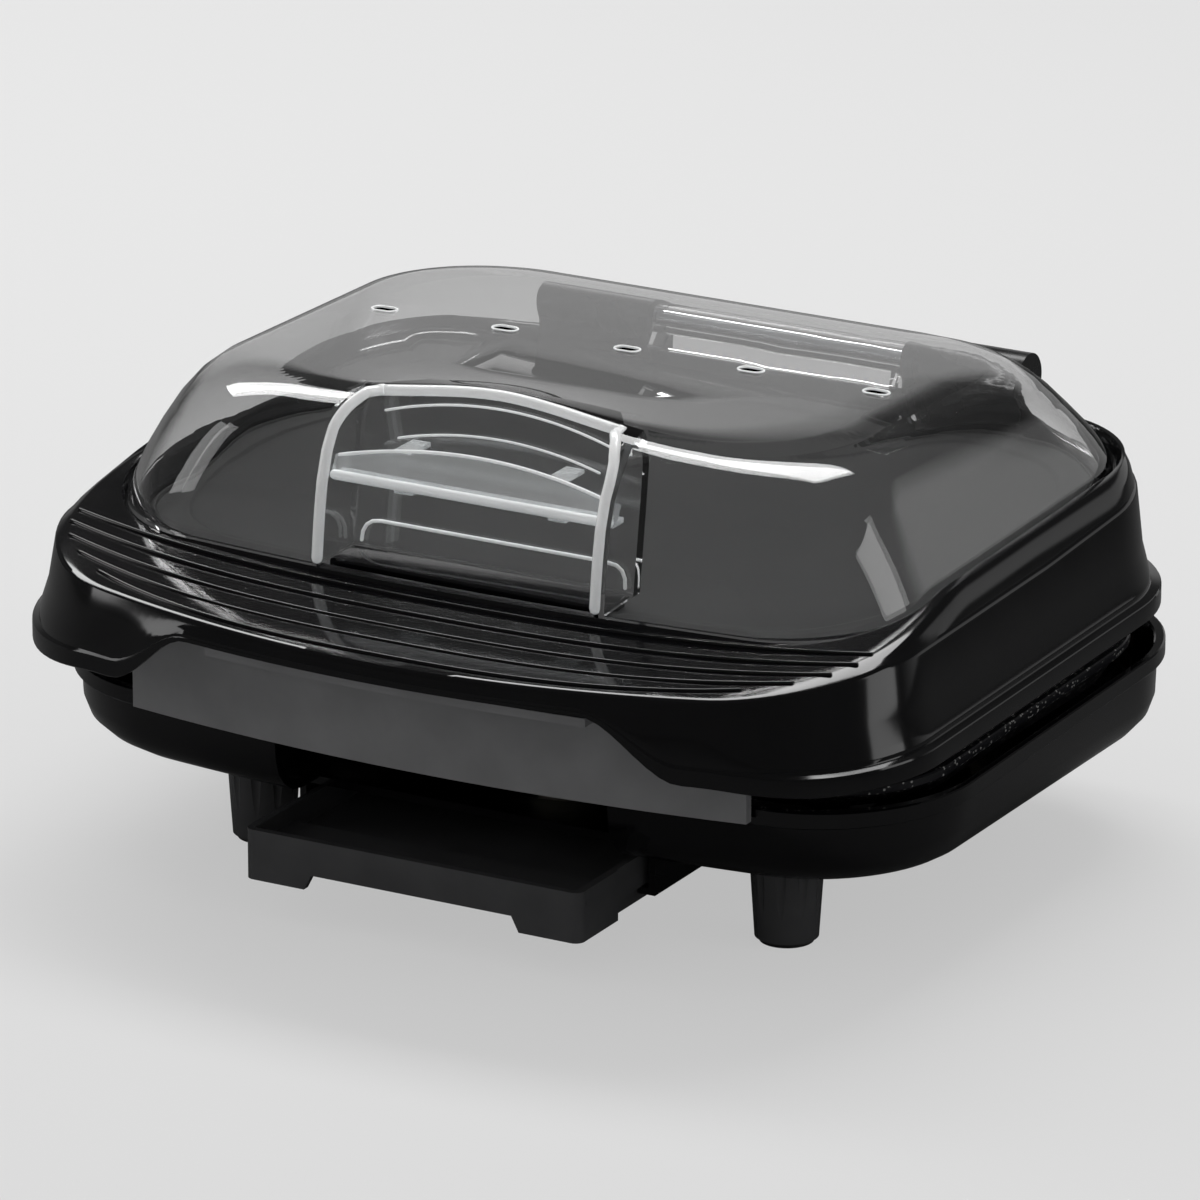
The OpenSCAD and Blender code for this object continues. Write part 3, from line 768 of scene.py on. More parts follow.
@dataclass(frozen=True)
class Levels:
    """Heights and slopes that the shells share, in mm."""

    tilt: float = 0.02
    rim_z: float = 58.5
    cover_z: float = 70.5
    crease_z: float = 96.8
    seat_z: float = 104.6
    seat_tilt: float = 0.042
    seat_front: float = -84.0
    front: float = -90.0
    # The crease's front band, long side and rear corner: for each the y that it starts at, its rise
    # over crease_z there and its slope.
    crease_runs: tuple[Point3, ...] = ((-130, 0, 0.14), (-78, 7.3, 0.026), (19, 9.8, 0.06))
    shoulder_rise: float = 9.4
    shoulder_bend: float = -33.0
    front_slope: float = 0.185
    side_slope: float = 0.035
    least_step: float = 0.1

    def rim(self, dz: float) -> Height:
        """Gives the lower housing's rim, raised by dz."""
        return lambda x, y: self.rim_z + dz + self.tilt * (y - self.front)

    def cover(self, dz: float) -> Height:
        """Gives the upper housing's lower edge, raised by dz."""
        return lambda x, y: self.cover_z + dz + self.tilt * (y - self.front)

    def seat(self, dz: float) -> Height:
        """Gives the dome's seat, raised by dz."""
        return lambda x, y: self.seat_z + dz + self.seat_tilt * (y - self.seat_front)

    def crease(self, x: float, y: float) -> float:
        """Gives the height of the crease between the wall and the deck.

        Args:
            x: place across; the height is the same at every x.
            y: place from front to back.

        Returns:
            The height in mm.
        """
        runs = self.crease_runs
        start, rise, slope = next((run for run in reversed(runs) if y >= run[0]), runs[0])
        return self.crease_z + rise + slope * (y - start)

    def shoulder(self, x: float, y: float) -> float:
        """Gives the height of the deck's shoulder round the dome, which never falls below the crease.

        Args:
            x: place across.
            y: place from front to back.

        Returns:
            The height in mm.
        """
        slope = self.front_slope if y < self.shoulder_bend else self.side_slope
        height = self.seat_z + self.shoulder_rise + slope * (y - self.shoulder_bend)
        return max(height, self.crease(x, y) + self.least_step)


def level(z: float) -> Height:
    """Gives a flat height."""
    return lambda x, y: z


# ---------------------------------------------------------------------------- shared pieces


@dataclass(frozen=True)
class Ridges:
    """The round-topped ridges that run from front to back on a plate, in mm."""

    count: int = 13
    pitch: float = 19.0
    crest_r: float = 1.6
    foot_half_w: float = 1.9
    front: float = -62.0
    rear: float = 88.0

    def build(self, name: str, z_foot: float, z_top: float) -> list[Object]:
        """Makes the ridges, with their crests up or down.

        Args:
            name: the objects' name.
            z_foot: height where a ridge meets its plate.
            z_top: height of its crest.

        Returns:
            One object for each ridge.
        """
        made = []
        r, half = self.crest_r, self.foot_half_w
        way = 1 if z_top > z_foot else -1
        for i in range(self.count):
            x = (i - self.count // 2) * self.pitch
            crest = [
                (x + r * math.cos(q), z_top - way * (r - r * math.sin(q))) for q in turns(math.pi, 8, True)
            ]
            profile = [(x + half, z_foot)] + crest + [(x - half, z_foot)]
            if way < 0:
                profile = profile[::-1]
            made.append(prism(name, profile, self.front, self.rear))
        return made


def dress_node(nodes: dict, name: str, material: Material) -> None:
    """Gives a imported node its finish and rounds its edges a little.

    Args:
        nodes: the frame's nodes.
        name: the node's name.
        material: its finish.
    """
    node = nodes[name]
    dress(node, material)
    modifier = node.modifiers.new("edge_radius", "BEVEL")
    modifier.width = EDGE_RADIUS * MM
    modifier.segments = 2
    modifier.limit_method = "ANGLE"
    modifier.angle_limit = math.radians(EDGE_ANGLE)
    modifier.harden_normals = False
    LOG.info("%s dressed in %s", name, material.name)


# ---------------------------------------------------------------------------- lower half


@dataclass
class LowerHalf:
    """Lower housing, plate and their exact parts."""

    finishes: Finishes
    nodes: dict
    levels: Levels = Levels()
    shell: Outline = Outline(150, -84, 122, 42, 48, 12)
    plate: Outline = Outline(143, -76, 106, 34, 40, 9)
    floor_z: float = 32.0
    notch_half_w: float = 56.5
    mouth_half_w: float = 18.0
    inlet: Point3 = (60, 46, 6)
    post_top: float = 43.5

    def housing(self) -> Object:
        """Builds the lower housing: a bowl with a lip, cut for the tray, the inlet and the hinge guides.

        Returns:
            The shell.
        """
        z, rim = self.floor_z, self.levels.rim
        obj = loft("lower_housing_shell", stack(self.shell, (
            (17, level(z), -8), (12, level(z + 1), -6), (7.5, level(z + 4), -4), (4.2, level(z + 8), -3),
            (2.6, level(z + 13), -2), (1.8, rim(-6)), (1.5, rim(-5.6)), (0.3, rim(-5.2)), (0, rim(-4.8)),
            (0, rim(-0.4)), (0.4, rim(0)), (2.2, rim(0)), (2.6, rim(-0.4)), (4.3, rim(-6)),
            (5.2, level(z + 12), -2), (10, level(z + 5), -4), (19, level(z + 2.5), -8))))
        w = self.notch_half_w
        combine(obj, box("notch", (-w, w), (-112, -72), (z - 2, z + 60)), Join.CUT)
        for x in (-HINGE_X, HINGE_X):
            combine(obj, box("guide_seat", (x - 8.2, x + 8.2), (110, 130), (36, 76)), Join.CUT)
        hole = on_circle(*self.inlet, turns(2 * math.pi, 40))
        combine(obj, prism("inlet_hole", hole, 100, 134), Join.CUT)
        for x, y in POSTS:
            combine(obj, post("reflector_post", x, y, z + 2, self.post_top), Join.ADD)
        return smooth(dress(obj, self.finishes.gloss_abs), 28)

    def grill_plate(self) -> Object:
        """Builds the lower plate with its drain mouth and ridges.

        Returns:
            The casting.
        """
        rim = self.levels.rim
        obj = loft("lower_plate_casting", stack(self.plate, (
            (13, level(53)), (6.5, level(54.5)), (2, rim(0.6)), (0.6, rim(1.1)), (0, rim(2)), (0, rim(4.1)),
            (0.4, rim(4.5)), (2.1, rim(4.5)), (2.5, rim(4.1)), (4, rim(1)), (9, level(56.5)),
            (15, level(55.5)))))
        w = self.mouth_half_w
        combine(obj, box("mouth", (-w, w), (-92, -68), (57.3, 70)), Join.CUT)
        for ridge in Ridges().build("lower_ridge", 55.0, 59.0):
            combine(obj, ridge, Join.ADD)
        return smooth(dress(obj, self.finishes.nonstick), 35)

    def build(self) -> None:
        """Builds the shells and dresses the exact parts of the lower half."""
        for piece, node in ((self.housing(), "lower_housing"), (self.grill_plate(), "lower_plate")):
            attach(piece, Body.BASE.value)
            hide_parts(node)
            LOG.info("%s stands for %s", piece.name, node)
        f = self.finishes
        for node, finish in {
            "lower_heater": f.heater_sheath, "lower_reflector": f.rolled_sheet,
            "plate_clips_lower": f.zinc_steel,
            # The feet's lighter grey is painted light: it stands in for lamp light and floor reflection on
            # black ABS.
            "foot_front_left": f.blasted_abs_painted_light, "foot_front_right": f.blasted_abs_painted_light,
            "foot_rear_left": f.blasted_abs_painted_light, "foot_rear_right": f.blasted_abs_painted_light,
            "foot_pads": f.nitrile,
            "tray_rail_left": f.satin_abs, "tray_rail_right": f.satin_abs,
            "hinge_guide_left": f.satin_abs, "hinge_guide_right": f.satin_abs,
            "cord_inlet": f.nitrile, "terminal_block": f.steatite, "thermostat": f.steatite,
            "thermal_fuse": f.zinc_steel, "lower_wires": f.glass_sleeve, "base_screws": f.zinc_steel,
            "hinge_yoke_left": f.zinc_steel, "hinge_yoke_right": f.zinc_steel,
        }.items():
            dress_node(self.nodes, node, finish)


# ---------------------------------------------------------------------------- upper half


@dataclass
class UpperHalf:
    """Upper housing with its ribbed front band, plate, floor and hinge blocks."""

    finishes: Finishes
    nodes: dict
    levels: Levels = Levels()
    shell: Outline = Outline(150, -105, 120, 42, 50, 27)
    seat_edge: Outline = Outline(134.3, -76, 115.6, 38, 42, 9)
    floor_edge: Outline = Outline(128.8, -70.5, 110.1, 38, 42, 8)
    plate: Outline = Outline(143, -76, 106, 34, 40, 9)
    rib_count: int = 5
    rib_r: float = 0.75
    rib_half_w: float = 133.9
    rib_shortened: float = 25.9
    rib_end_y: float = -75.4
    rib_end_fall: float = 31.1
    rib_mid_y: float = -90.0
    rib_pitch: float = 8.6
    arch_top: float = 66.0
    arch_foot: float = 96.0
    arch_foot_z: float = 73.5
    fascia_depth: float = 5.4
    plinth_half_w: float = 46.2
    leg_foot: float = 85.8

    def low_edge(self, x: float, y: float) -> float:
        """Gives the lower edge: level at the sides, with the S-curved arch at the front.

        Args:
            x: place across.
            y: place from front to back.

        Returns:
            The height in mm.
        """
        front_only, dip_end, dip_length = -60, 140, 40
        plain = self.levels.cover(0)(x, y)
        if y > front_only:
            return plain
        foot = plain + (self.arch_foot_z - plain) * ease((dip_end - abs(x)) / dip_length)
        rise = ease((self.arch_foot - abs(x)) / (self.arch_foot - self.arch_top))
        return foot + (self.levels.crease_z - self.fascia_depth - foot) * rise

    def wall(self, dz: float) -> Height:
        """Gives a line of the wall that lies dz above the lower edge where the wall has its full height.

        Args:
            dz: height above the lower edge.

        Returns:
            The line's height as a function of x and y.
        """

        def height(x: float, y: float) -> float:
            """Scales dz down where the arch makes the wall shallow."""
            low, plain, crease = self.low_edge(x, y), self.levels.cover(0)(x, y), self.levels.crease(x, y)
            return low + dz * (crease - low) / (crease - plain)

        return height

    def ring(
        self, side: float, height: Height, front: float = 0.0, rear: float = 0.0, grow_r: float = 0.0
    ) -> list[Point3]:
        """Gives a ring of the housing, drawn in by its own amount at the sides, the front and the rear."""
        return lift(self.shell.drawn_in(side, front, rear, grow_r), height)

    def housing(self) -> Object:
        """Builds the upper housing as one wrapped skin from the lower edge over the deck to the inside.

        Returns:
            The shell.
        """
        lv, wall, ring = self.levels, self.wall, self.ring
        seat = self.seat_edge

        def past(line: Height, dz: float) -> Height:
            """Raises a line by dz."""
            return lambda x, y: line(x, y) + dz

        def between(share: float) -> Height:
            """Gives a height between the crease and the shoulder."""
            return lambda x, y: (1 - share) * lv.crease(x, y) + share * lv.shoulder(x, y)

        def step(x: float, y: float) -> float:
            """Gives the foot of the lip round the dome's seat."""
            return max(lv.seat(0.6)(x, y), lv.shoulder(x, y) - 1.2)

        obj = loft("upper_housing_shell", [
            ring(0.4, wall(0), 0.4, 0.4), ring(0, wall(0.5)), ring(0, wall(5.6)),
            ring(0.3, wall(6.2), 0, 0.3), ring(2.4, wall(6.9), 0, 2.2), ring(2.6, wall(7.2), 0, 2.4),
            ring(2.6, wall(8.3), 0, 2.4), ring(2.8, wall(8.7), 0, 2.4), ring(3.3, wall(11), 0, 2.4),
            ring(5.3, wall(18), 1.1, 2.45), ring(7.4, past(lv.crease, -1.4), 1.9, 2.5),
            ring(7.8, past(lv.crease, -0.5), 2.2, 2.5), ring(8.4, lv.crease, 2.9, 2.55),
            ring(9.6, between(0.55), 4.2, 2.6), ring(11, between(0.88), 5.5, 2.7),
            ring(12.2, lv.shoulder, 6.6, 2.8), lift(seat.drawn_in(-1.2, -1.2, -1.2), lv.shoulder),
            lift(seat.drawn_in(-0.5), past(lv.shoulder, -0.3)), lift(seat.drawn_in(-0.1), step),
            lift(seat, lv.seat(0)), lift(seat.drawn_in(5), lv.seat(0)),
            lift(seat.drawn_in(5), lv.seat(-2.2)), lift(seat.drawn_in(0.5), lv.seat(-2.2)),
            lift(seat.drawn_in(-3.5, -3.5, 1.5), lv.seat(-4.5)),
            ring(11.5, past(lv.crease, -2.6), 9, 6, -4), ring(6, wall(11), 4, 6),
            ring(3, wall(6), 3, 3), ring(2.6, wall(0.4), 2.6, 2.6), ring(2.2, wall(0), 2.2, 2.2)
        ], wrap=True)
        for s in (-1, 1):
            x = s * HINGE_X
            combine(obj, box("arm_block", (x - 11, x + 11), (106, 115), (79, 99)), Join.ADD)
            combine(obj, box("arm_pocket", (x - 7.2, x + 7.2), (112, 132), (66, 96.2)), Join.CUT)
            x0, x1 = sorted((s * 44.1, s * 84.1))
            combine(obj, box("block_pocket", (x0, x1), (115.4, 132), (103.9, 126)), Join.CUT)
        combine(obj, box("barrel_gap", (-44.3, 44.3), (115.7, 126), (113.2, 126)), Join.CUT)
        return smooth(dress(obj, self.finishes.gloss_abs), 30)

    def rib_path(self, i: int) -> list[Point3]:
        """Gives the centre line of a rib on the front band; the ribs grow shorter towards the front.

        Args:
            i: the rib's number from the dome forwards.

        Returns:
            Points of the centre line.
        """
        share = i / (self.rib_count - 1)
        half = self.rib_half_w - self.rib_shortened * share ** 2.2
        end_y = self.rib_end_y - self.rib_end_fall * share ** 1.1
        mid_y = self.rib_mid_y - self.rib_pitch * i
        path, steps = [], 60
        for k in range(-steps, steps + 1):
            t = k / steps
            y = mid_y + (end_y - mid_y) * abs(t) ** 2.6
            path.append((half * t, y, self.levels.shoulder(half * t, y) + 0.05))
        return path

    def ribs(self) -> Object:
        """Builds the fine raised ribs across the front band as one object.

        Returns:
            The ribs.
        """
        made = [tube("rib", self.rib_path(i), self.rib_r) for i in range(self.rib_count)]
        first = made[0]
        with bpy.context.temp_override(active_object=first, selected_editable_objects=made):
            bpy.ops.object.join()
        first.name = "front_band_ribs"
        return dress(first, self.finishes.gloss_abs)

    def plinth(self) -> Object:
        """Builds the low plinth in the mouth of the dome's handle recess, level with the deck.

        Returns:
            The plinth.
        """
        half, front, rear = self.plinth_half_w, -76.4, -62.6
        deck = self.levels.shoulder(0, -76)
        rings = []
        for d, z in ((0, 100.0), (0, deck - 0.6), (0.25, deck - 0.15), (0.7, deck)):
            x, y0, y1 = half - d, front + d, rear - d
            rings.append([(-x, y0, z), (x, y0, z), (x, y1, z), (-x, y1, z)])
        obj = loft("handle_plinth", rings)
        return smooth(dress(obj, self.finishes.gloss_abs), 30)

    def grill_plate(self) -> Object:
        """Builds the upper plate, an inverted pan with ridges.

        Returns:
            The casting.
        """
        cover = self.levels.cover
        obj = loft("upper_plate_casting", stack(self.plate, (
            (15, level(73)), (9, level(72)), (4, cover(-2.5)), (2.5, cover(-5.6)), (2.1, cover(-6)),
            (0.4, cover(-6)), (0, cover(-5.6)), (0, cover(-3)), (2, cover(-2)), (6.5, level(74.5)),
            (13, level(75.5)))))
        for ridge in Ridges().build("upper_ridge", 73.4, 69.8):
            combine(obj, ridge, Join.ADD)
        return smooth(dress(obj, self.finishes.nonstick), 35)

    def warming_floor(self) -> Object:
        """Builds the warming floor with the shallow groove round its recess.

        Returns:
            The floor.
        """
        seat = self.levels.seat
        obj = loft("warming_floor", stack(self.floor_edge, (
            (13, seat(-5.2)), (9.5, seat(-5.2)), (8, seat(-4.2)), (-3, seat(-4.2)), (-3, seat(-2.25)),
            (0, seat(-2.25)), (0, seat(-1.5)), (0.3, seat(-1.2)), (0.7, seat(-1.4)), (1, seat(-2.2)),
            (7.6, seat(-2.4)), (8.2, seat(-2.6)), (8.8, seat(-3.2)), (9.4, seat(-3.4)), (13, seat(-3.4)))))
        for x, y in POSTS:
            combine(obj, post("floor_leg", x, y, self.leg_foot, seat(-4.6)(x, y)), Join.ADD)
        return smooth(dress(obj, self.finishes.matt_pbt), 35)

    def build(self) -> None:
        """Builds the shells and dresses the exact parts of the upper half."""
        ribs, plinth = self.ribs(), self.plinth()
        shells = (
            (self.housing(), "upper_housing"), (self.grill_plate(), "upper_plate"),
            (self.warming_floor(), "warming_tray")
        )
        for piece, node in shells:
            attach(piece, Body.COVER.value)
            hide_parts(node)
            LOG.info("%s stands for %s", piece.name, node)
        for piece in (ribs, plinth):
            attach(piece, Body.COVER.value)
            LOG.info("%s rides on the cover", piece.name)
        f = self.finishes
        for node, finish in {
            # The apron's lighter grey is a painted reflection on black ABS.
            "front_apron": f.apron_painted_reflection_abs,
            "upper_heater": f.heater_sheath, "upper_reflector": f.rolled_sheet,
            "plate_clips_upper": f.zinc_steel,
            "hinge_arm_left": f.satin_abs, "hinge_arm_right": f.satin_abs, "hinge_pins": f.zinc_steel,
            "lid_hinge_block_left": f.satin_abs, "lid_hinge_block_right": f.satin_abs,
            "lid_hinge_pin": f.zinc_steel, "cover_screws": f.zinc_steel,
        }.items():
            dress_node(self.nodes, node, finish)


# ---------------------------------------------------------------------------- dome lid


@dataclass
class DomeLid:
    """Clear dome with its handle recess, arch bead, grip and hinge barrel."""

    finishes: Finishes
    nodes: dict
    levels: Levels = Levels()
    rim: Outline = Outline(133.4, -75, 114.6, 37, 41, 9)
    crown_z: float = 150.5
    crown_fall: float = 0.03
    crown_middle: float = 20.0
    hood_rise: float = 6.3
    wall_t: float = 2.4
    recess_half_w: float = 47.0
    recess_foot: Point2 = (-61.5, 106.0)
    recess_lean: float = 8.25
    recess_spring: float = 37.5
    recess_top: float = 54.5
    corner_r: float = 13.0
    hood: Point3 = (40.0, 36.0, -55.0)
    vent_count: int = 5
    vent_pitch: float = 42.2
    vent_y: float = 21.0
    vent_r: float = 2.0
    vent_half_slot: float = 1.6
    vent_rim_gap: float = 0.5
    vent_rim_r: float = 0.4
    bead_r: float = 1.7
    grip_half_w: float = 45.6
    grip_edge: Point2 = (-74.1, 131.3)
    grip_lean: float = 63.0

    def crown(self, dz: float) -> Height:
        """Gives the crown without its hood, which falls a little towards the back."""
        return lambda x, y: self.crown_z + dz - self.crown_fall * (y - self.crown_middle)

    def height(self, share: float, dz: float) -> Height:
        """Gives a height in the dome's wall, from 0 at the rim to 1 at the crown, with the hood.

        Args:
            share: place in the wall.
            dz: what to add to the height.

        Returns:
            The height as a function of x and y.
        """
        low, top = self.levels.seat(2.7), self.crown(0)
        half_w, half_d, middle = self.hood

        def at(x: float, y: float) -> float:
            """Gives the height at a point."""
            hood = self.hood_rise * math.exp(-((x / half_w) ** 2) - ((y - middle) / half_d) ** 2)
            return low(x, y) + share * (top(x, y) - low(x, y)) + share ** 3 * hood + dz

        return at

    @staticmethod
    def insets(share: float) -> Point3:
        """Gives how far the side, front and rear lean in at a share of the wall's height.

        Args:
            share: 0 at the rim and 1 at the crown.

        Returns:
            The three insets in mm.
        """
        knots = (
            (0.0, 0.0, 0.0, 0.0), (0.12, 2.0, 0.6, 2.0), (0.3, 5.6, 1.6, 5.0), (0.5, 10.4, 3.2, 9.0),
            (0.68, 15.0, 6.0, 13.0), (0.82, 19.5, 10.0, 17.0), (0.92, 24.5, 15.0, 21.5),
            (0.98, 31.0, 21.0, 27.0), (1.0, 42.0, 30.0, 36.0)
        )
        for (h0, *a), (h1, *b) in zip(knots, knots[1:]):
            if share <= h1:
                u = (share - h0) / (h1 - h0)
                return tuple(p + (q - p) * u for p, q in zip(a, b))
        return knots[-1][1:]

    def skin(self, t: float) -> list[list[Point3]]:
        """Gives the dome's rings at a depth t inside its outer skin, from the rim to the crown.

        Args:
            t: the depth in mm.

        Returns:
            The rings.
        """
        base, corner = self.rim, self.rim.r_front

        def ring(side: float, front: float, rear: float, height: Height, radius: float) -> list[Point3]:
            """Gives one ring, drawn in by its own amount at the sides, the front and the rear."""
            edges = base.half_w - side, base.front + front, base.rear - rear
            return lift(Outline(*edges, radius, radius + (base.r_rear - corner), base.bow), height)

        rings = [ring(t, t, t, low, corner) for low in (self.levels.seat(0.3), self.height(0, 0))]
        steps = (0.06, 0.12, 0.2, 0.3, 0.4, 0.5, 0.6, 0.68, 0.76, 0.82, 0.87, 0.92, 0.955, 0.98)
        for share in steps:
            side, front, rear = self.insets(share)
            # The thickness is measured sideways at the rim and downwards at the crown.
            turned = max(0.0, (share - 0.4) / 0.58)
            in_side, in_front = t * (1 - 0.8 * turned ** 2), t * (1 - 0.5 * turned ** 2)
            height, radius = self.height(share, -t * turned ** 1.5), corner - 3 * share ** 6
            rings.append(ring(side + in_side, front + in_front, rear + in_side, height, radius))
        hooded, flat = self.height(1, -t), self.crown(0.3 - t)
        rings.append(ring(42, 30, 36, hooded, 32))
        rings.append(ring(54, 42, 46, lambda x, y: 0.5 * (hooded(x, y) + flat(x, y)), 29))
        rings.append(ring(66, 60, 56, self.crown(0.4 - t), 26))
        return rings

    def recess_profile(self, grow: float) -> list[Point2]:
        """Gives the handle recess as seen from the front: upright sides under an arched top.

        Args:
            grow: how much larger than the recess it is.

        Returns:
            Points (x, z), anticlockwise.
        """
        w, r, foot = self.recess_half_w + grow, self.corner_r + grow, self.recess_foot[1]
        corner = on_circle(w - r, foot + self.recess_spring, r, turns(math.pi / 2, 20, True))
        side = [(w, foot - 16.0)] + corner
        return side + [(0.0, foot + self.recess_top + grow)] + [(-x, z) for x, z in reversed(side)]

    def recess(self, name: str, grow: float, front: float) -> Object:
        """Makes the solid of the handle recess, which leans back with its inner wall."""
        profile, rear = self.recess_profile(grow), self.recess_foot[0] + grow
        return prism(name, profile, front, rear, self.recess_lean, self.recess_foot)

    def dome(self) -> Object:
        """Builds the dome: a thin shell with the walls of its handle recess and its vents.

        Returns:
            The shell.
        """
        t = self.wall_t
        obj = loft("dome_shell", self.skin(t)[::-1] + self.skin(0))
        combine(obj, self.recess("recess", 0, -110), Join.CUT)
        walls = self.recess("walls", t, -110)
        combine(walls, self.recess("recess", 0, -112), Join.CUT)
        combine(walls, loft("core", self.skin(t / 2)), Join.KEEP_SHARED)
        combine(obj, walls, Join.ADD)
        for x in self.vent_places():
            combine(obj, self.vent(x), Join.CUT)
        close_slivers(obj)
        return smooth(dress(obj, self.finishes.clear_pc), 30)

    def vent_places(self) -> list[float]:
        """Gives the x of each vent."""
        return [(i - self.vent_count // 2) * self.vent_pitch for i in range(self.vent_count)]

    def vent_line(self, x: float, radius: float, angles: Iterable[float]) -> list[Point2]:
        """Gives the oval of a vent, or one round it, at the given angles.

        Args:
            x: the vent's place.
            radius: radius of its ends.
            angles: angles in radians.

        Returns:
            Points (x, y).
        """
        line = []
        for q in angles:
            slot = self.vent_half_slot if math.cos(q) > 0 else -self.vent_half_slot
            line.append((x + slot + radius * math.cos(q), self.vent_y + radius * math.sin(q)))
        return line

    def vent(self, x: float) -> Object:
        """Makes the cutter of the oval vent at x."""
        outline = self.vent_line(x, self.vent_r, turns(2 * math.pi, 32))
        return loft("vent", [[(px, py, z) for px, py in outline] for z in (130.0, 170.0)])

    def probe(self) -> BVHTree:
        """Gives the dome's outer skin as a tree for ray casts.

        Returns:
            The tree, in metres.
        """
        shell = loft("probe", self.skin(0))
        tree = BVHTree.FromObject(shell, bpy.context.evaluated_depsgraph_get())
        bpy.data.objects.remove(shell)
        return tree

    @staticmethod
    def skin_z(tree: BVHTree, x: float, y: float) -> float:
        """Gives the height of the outer skin at (x, y), in mm, by a ray from above."""
        return tree.ray_cast(Vector((x * MM, y * MM, RAY_TOP)), Vector((0, 0, -1)))[0].z / MM

    def wall_y(self, z: float) -> float:
        """Gives the front of the recess's leaning wall at a height."""
        return self.recess_foot[0] + math.tan(math.radians(self.recess_lean)) * (z - self.recess_foot[1])

    def arch_bead(self, tree: BVHTree) -> Object:
        """Builds the thick rounded edge that runs up, over and down the handle recess.

        Args:
            tree: the dome's outer skin.

        Returns:
            The bead, which lies against the skin and no higher than it.
        """
        foot_z = self.recess_foot[1]
        w, r, radius = self.recess_half_w, self.corner_r, self.bead_r
        spring, start, sunk, before_wall = self.recess_spring, 1.5, 0.3, 0.9
        outline = [(w, foot_z + start + (spring - start) * k / 24) for k in range(24)]
        outline += on_circle(w - r, foot_z + spring, r, turns(math.pi / 2, 12, True))
        outline += [
            (w - r - (w - r) * k / 12, foot_z + (spring + r) + (self.recess_top - spring - r) * k / 12)
            for k in range(1, 13)
        ]
        right: list[Point3] = []
        for x, z in outline:
            back_y = self.wall_y(z)
            hit = tree.ray_cast(Vector((x * MM, RAY_FRONT, z * MM)), Vector((0, 1, 0)))[0]
            if hit is not None and hit.y / MM < back_y:
                right.append((x, hit.y / MM + sunk, z))
            else:
                y = back_y - before_wall
                right.append((x, y, self.skin_z(tree, x, y) - radius))
        path = right + [(-x, y, z) for x, y, z in reversed(right[:-1])]
        return tube("arch_bead", path, radius, 14)

    def grip_beads(self) -> list[Object]:
        """Builds the rounded edges of the grip: a thin one over the crescent and a thick one below.

        Returns:
            The two beads.
        """
        lean, (edge_y, edge_z) = math.radians(self.grip_lean), self.grip_edge
        made = []
        for name, radius, end, rise in (
            ("grip_top_bead", 0.55, 6.0, 6.0), ("grip_foot_bead", 1.6, 0.0, 0.0)
        ):
            path = []
            for k in range(-20, 21):
                up = end + rise * (1 - (k / 20) ** 2)
                y, z = edge_y + up * math.cos(lean), edge_z + up * math.sin(lean)
                path.append((self.grip_half_w * k / 20, y, z))
            made.append(tube(name, path, radius))
        return made

    def wall_beads(self) -> list[Object]:
        """Builds the raised lines on the recess's leaning wall: two arcs above and a ledge below.

        Returns:
            The three lines.
        """
        made = []
        for half, end_z, rise in ((39.0, 147.0, 6.0), (34.0, 139.5, 4.5)):
            line = [(half * k / 20, end_z + rise * (1 - (k / 20) ** 2)) for k in range(-20, 21)]
            made.append(tube("wall_arc", [(x, self.wall_y(z) - 0.1, z) for x, z in line], 0.4))
        end = [(44.2, 107.5), (43.9, 110.2), (42.8, 112.3), (40.8, 113.6), (38.0, 114.0)]
        line = end + [(38.0 - 3.8 * k, 114.0) for k in range(1, 10)] + [(0.0, 114.0)]
        line += [(-x, z) for x, z in reversed(line[:-1])]
        made.append(tube("wall_ledge", [(x, self.wall_y(z) - 0.1, z) for x, z in line], 0.6))
        return made

    def vent_rims(self, tree: BVHTree) -> list[Object]:
        """Builds the thin raised rim round each vent.

        Args:
            tree: the dome's outer skin.

        Returns:
            One rim for each vent.
        """
        made = []
        for place in self.vent_places():
            path = []
            for x, y in self.vent_line(
                place, self.vent_r + self.vent_rim_gap, turns(2 * math.pi, 32, True)
            ):
                path.append((x, y, self.skin_z(tree, x, y)))
            made.append(tube("vent_rim", path, self.vent_rim_r, 8))
        return made

    def build(self) -> None:
        """Builds the dome with its beads and dresses its grip and barrel."""
        dome, tree = self.dome(), self.probe()
        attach(dome, Body.LID.value)
        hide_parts("dome_lid")
        LOG.info("%s stands for dome_lid", dome.name)
        for bead in [self.arch_bead(tree)] + self.grip_beads() + self.wall_beads() + self.vent_rims(tree):
            # The beads' white is a painted highlight for the light their clear edges catch.
            dress(bead, self.finishes.bead_pc_painted_highlight)
            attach(bead, Body.LID.value)
            LOG.info("%s rides on the lid", bead.name)
        # The grip's pale veil is a painted sheen on clear plastic.
        dress_node(self.nodes, "lid_grip", self.finishes.grip_pc_painted_sheen)
        dress_node(self.nodes, "lid_barrel", self.finishes.clear_pc)


# ---------------------------------------------------------------------------- tray


@dataclass
class Tray:
    """The pull-out drip tray."""

    finishes: Finishes
    nodes: dict

    def build(self) -> None:
        """Dresses the tray."""
        # The tray's lighter grey is painted light standing in for lamp light and floor reflection on its
        # faces.
        dress_node(self.nodes, "drip_tray", self.finishes.blasted_abs_painted_light)


# ---------------------------------------------------------------------------- studio


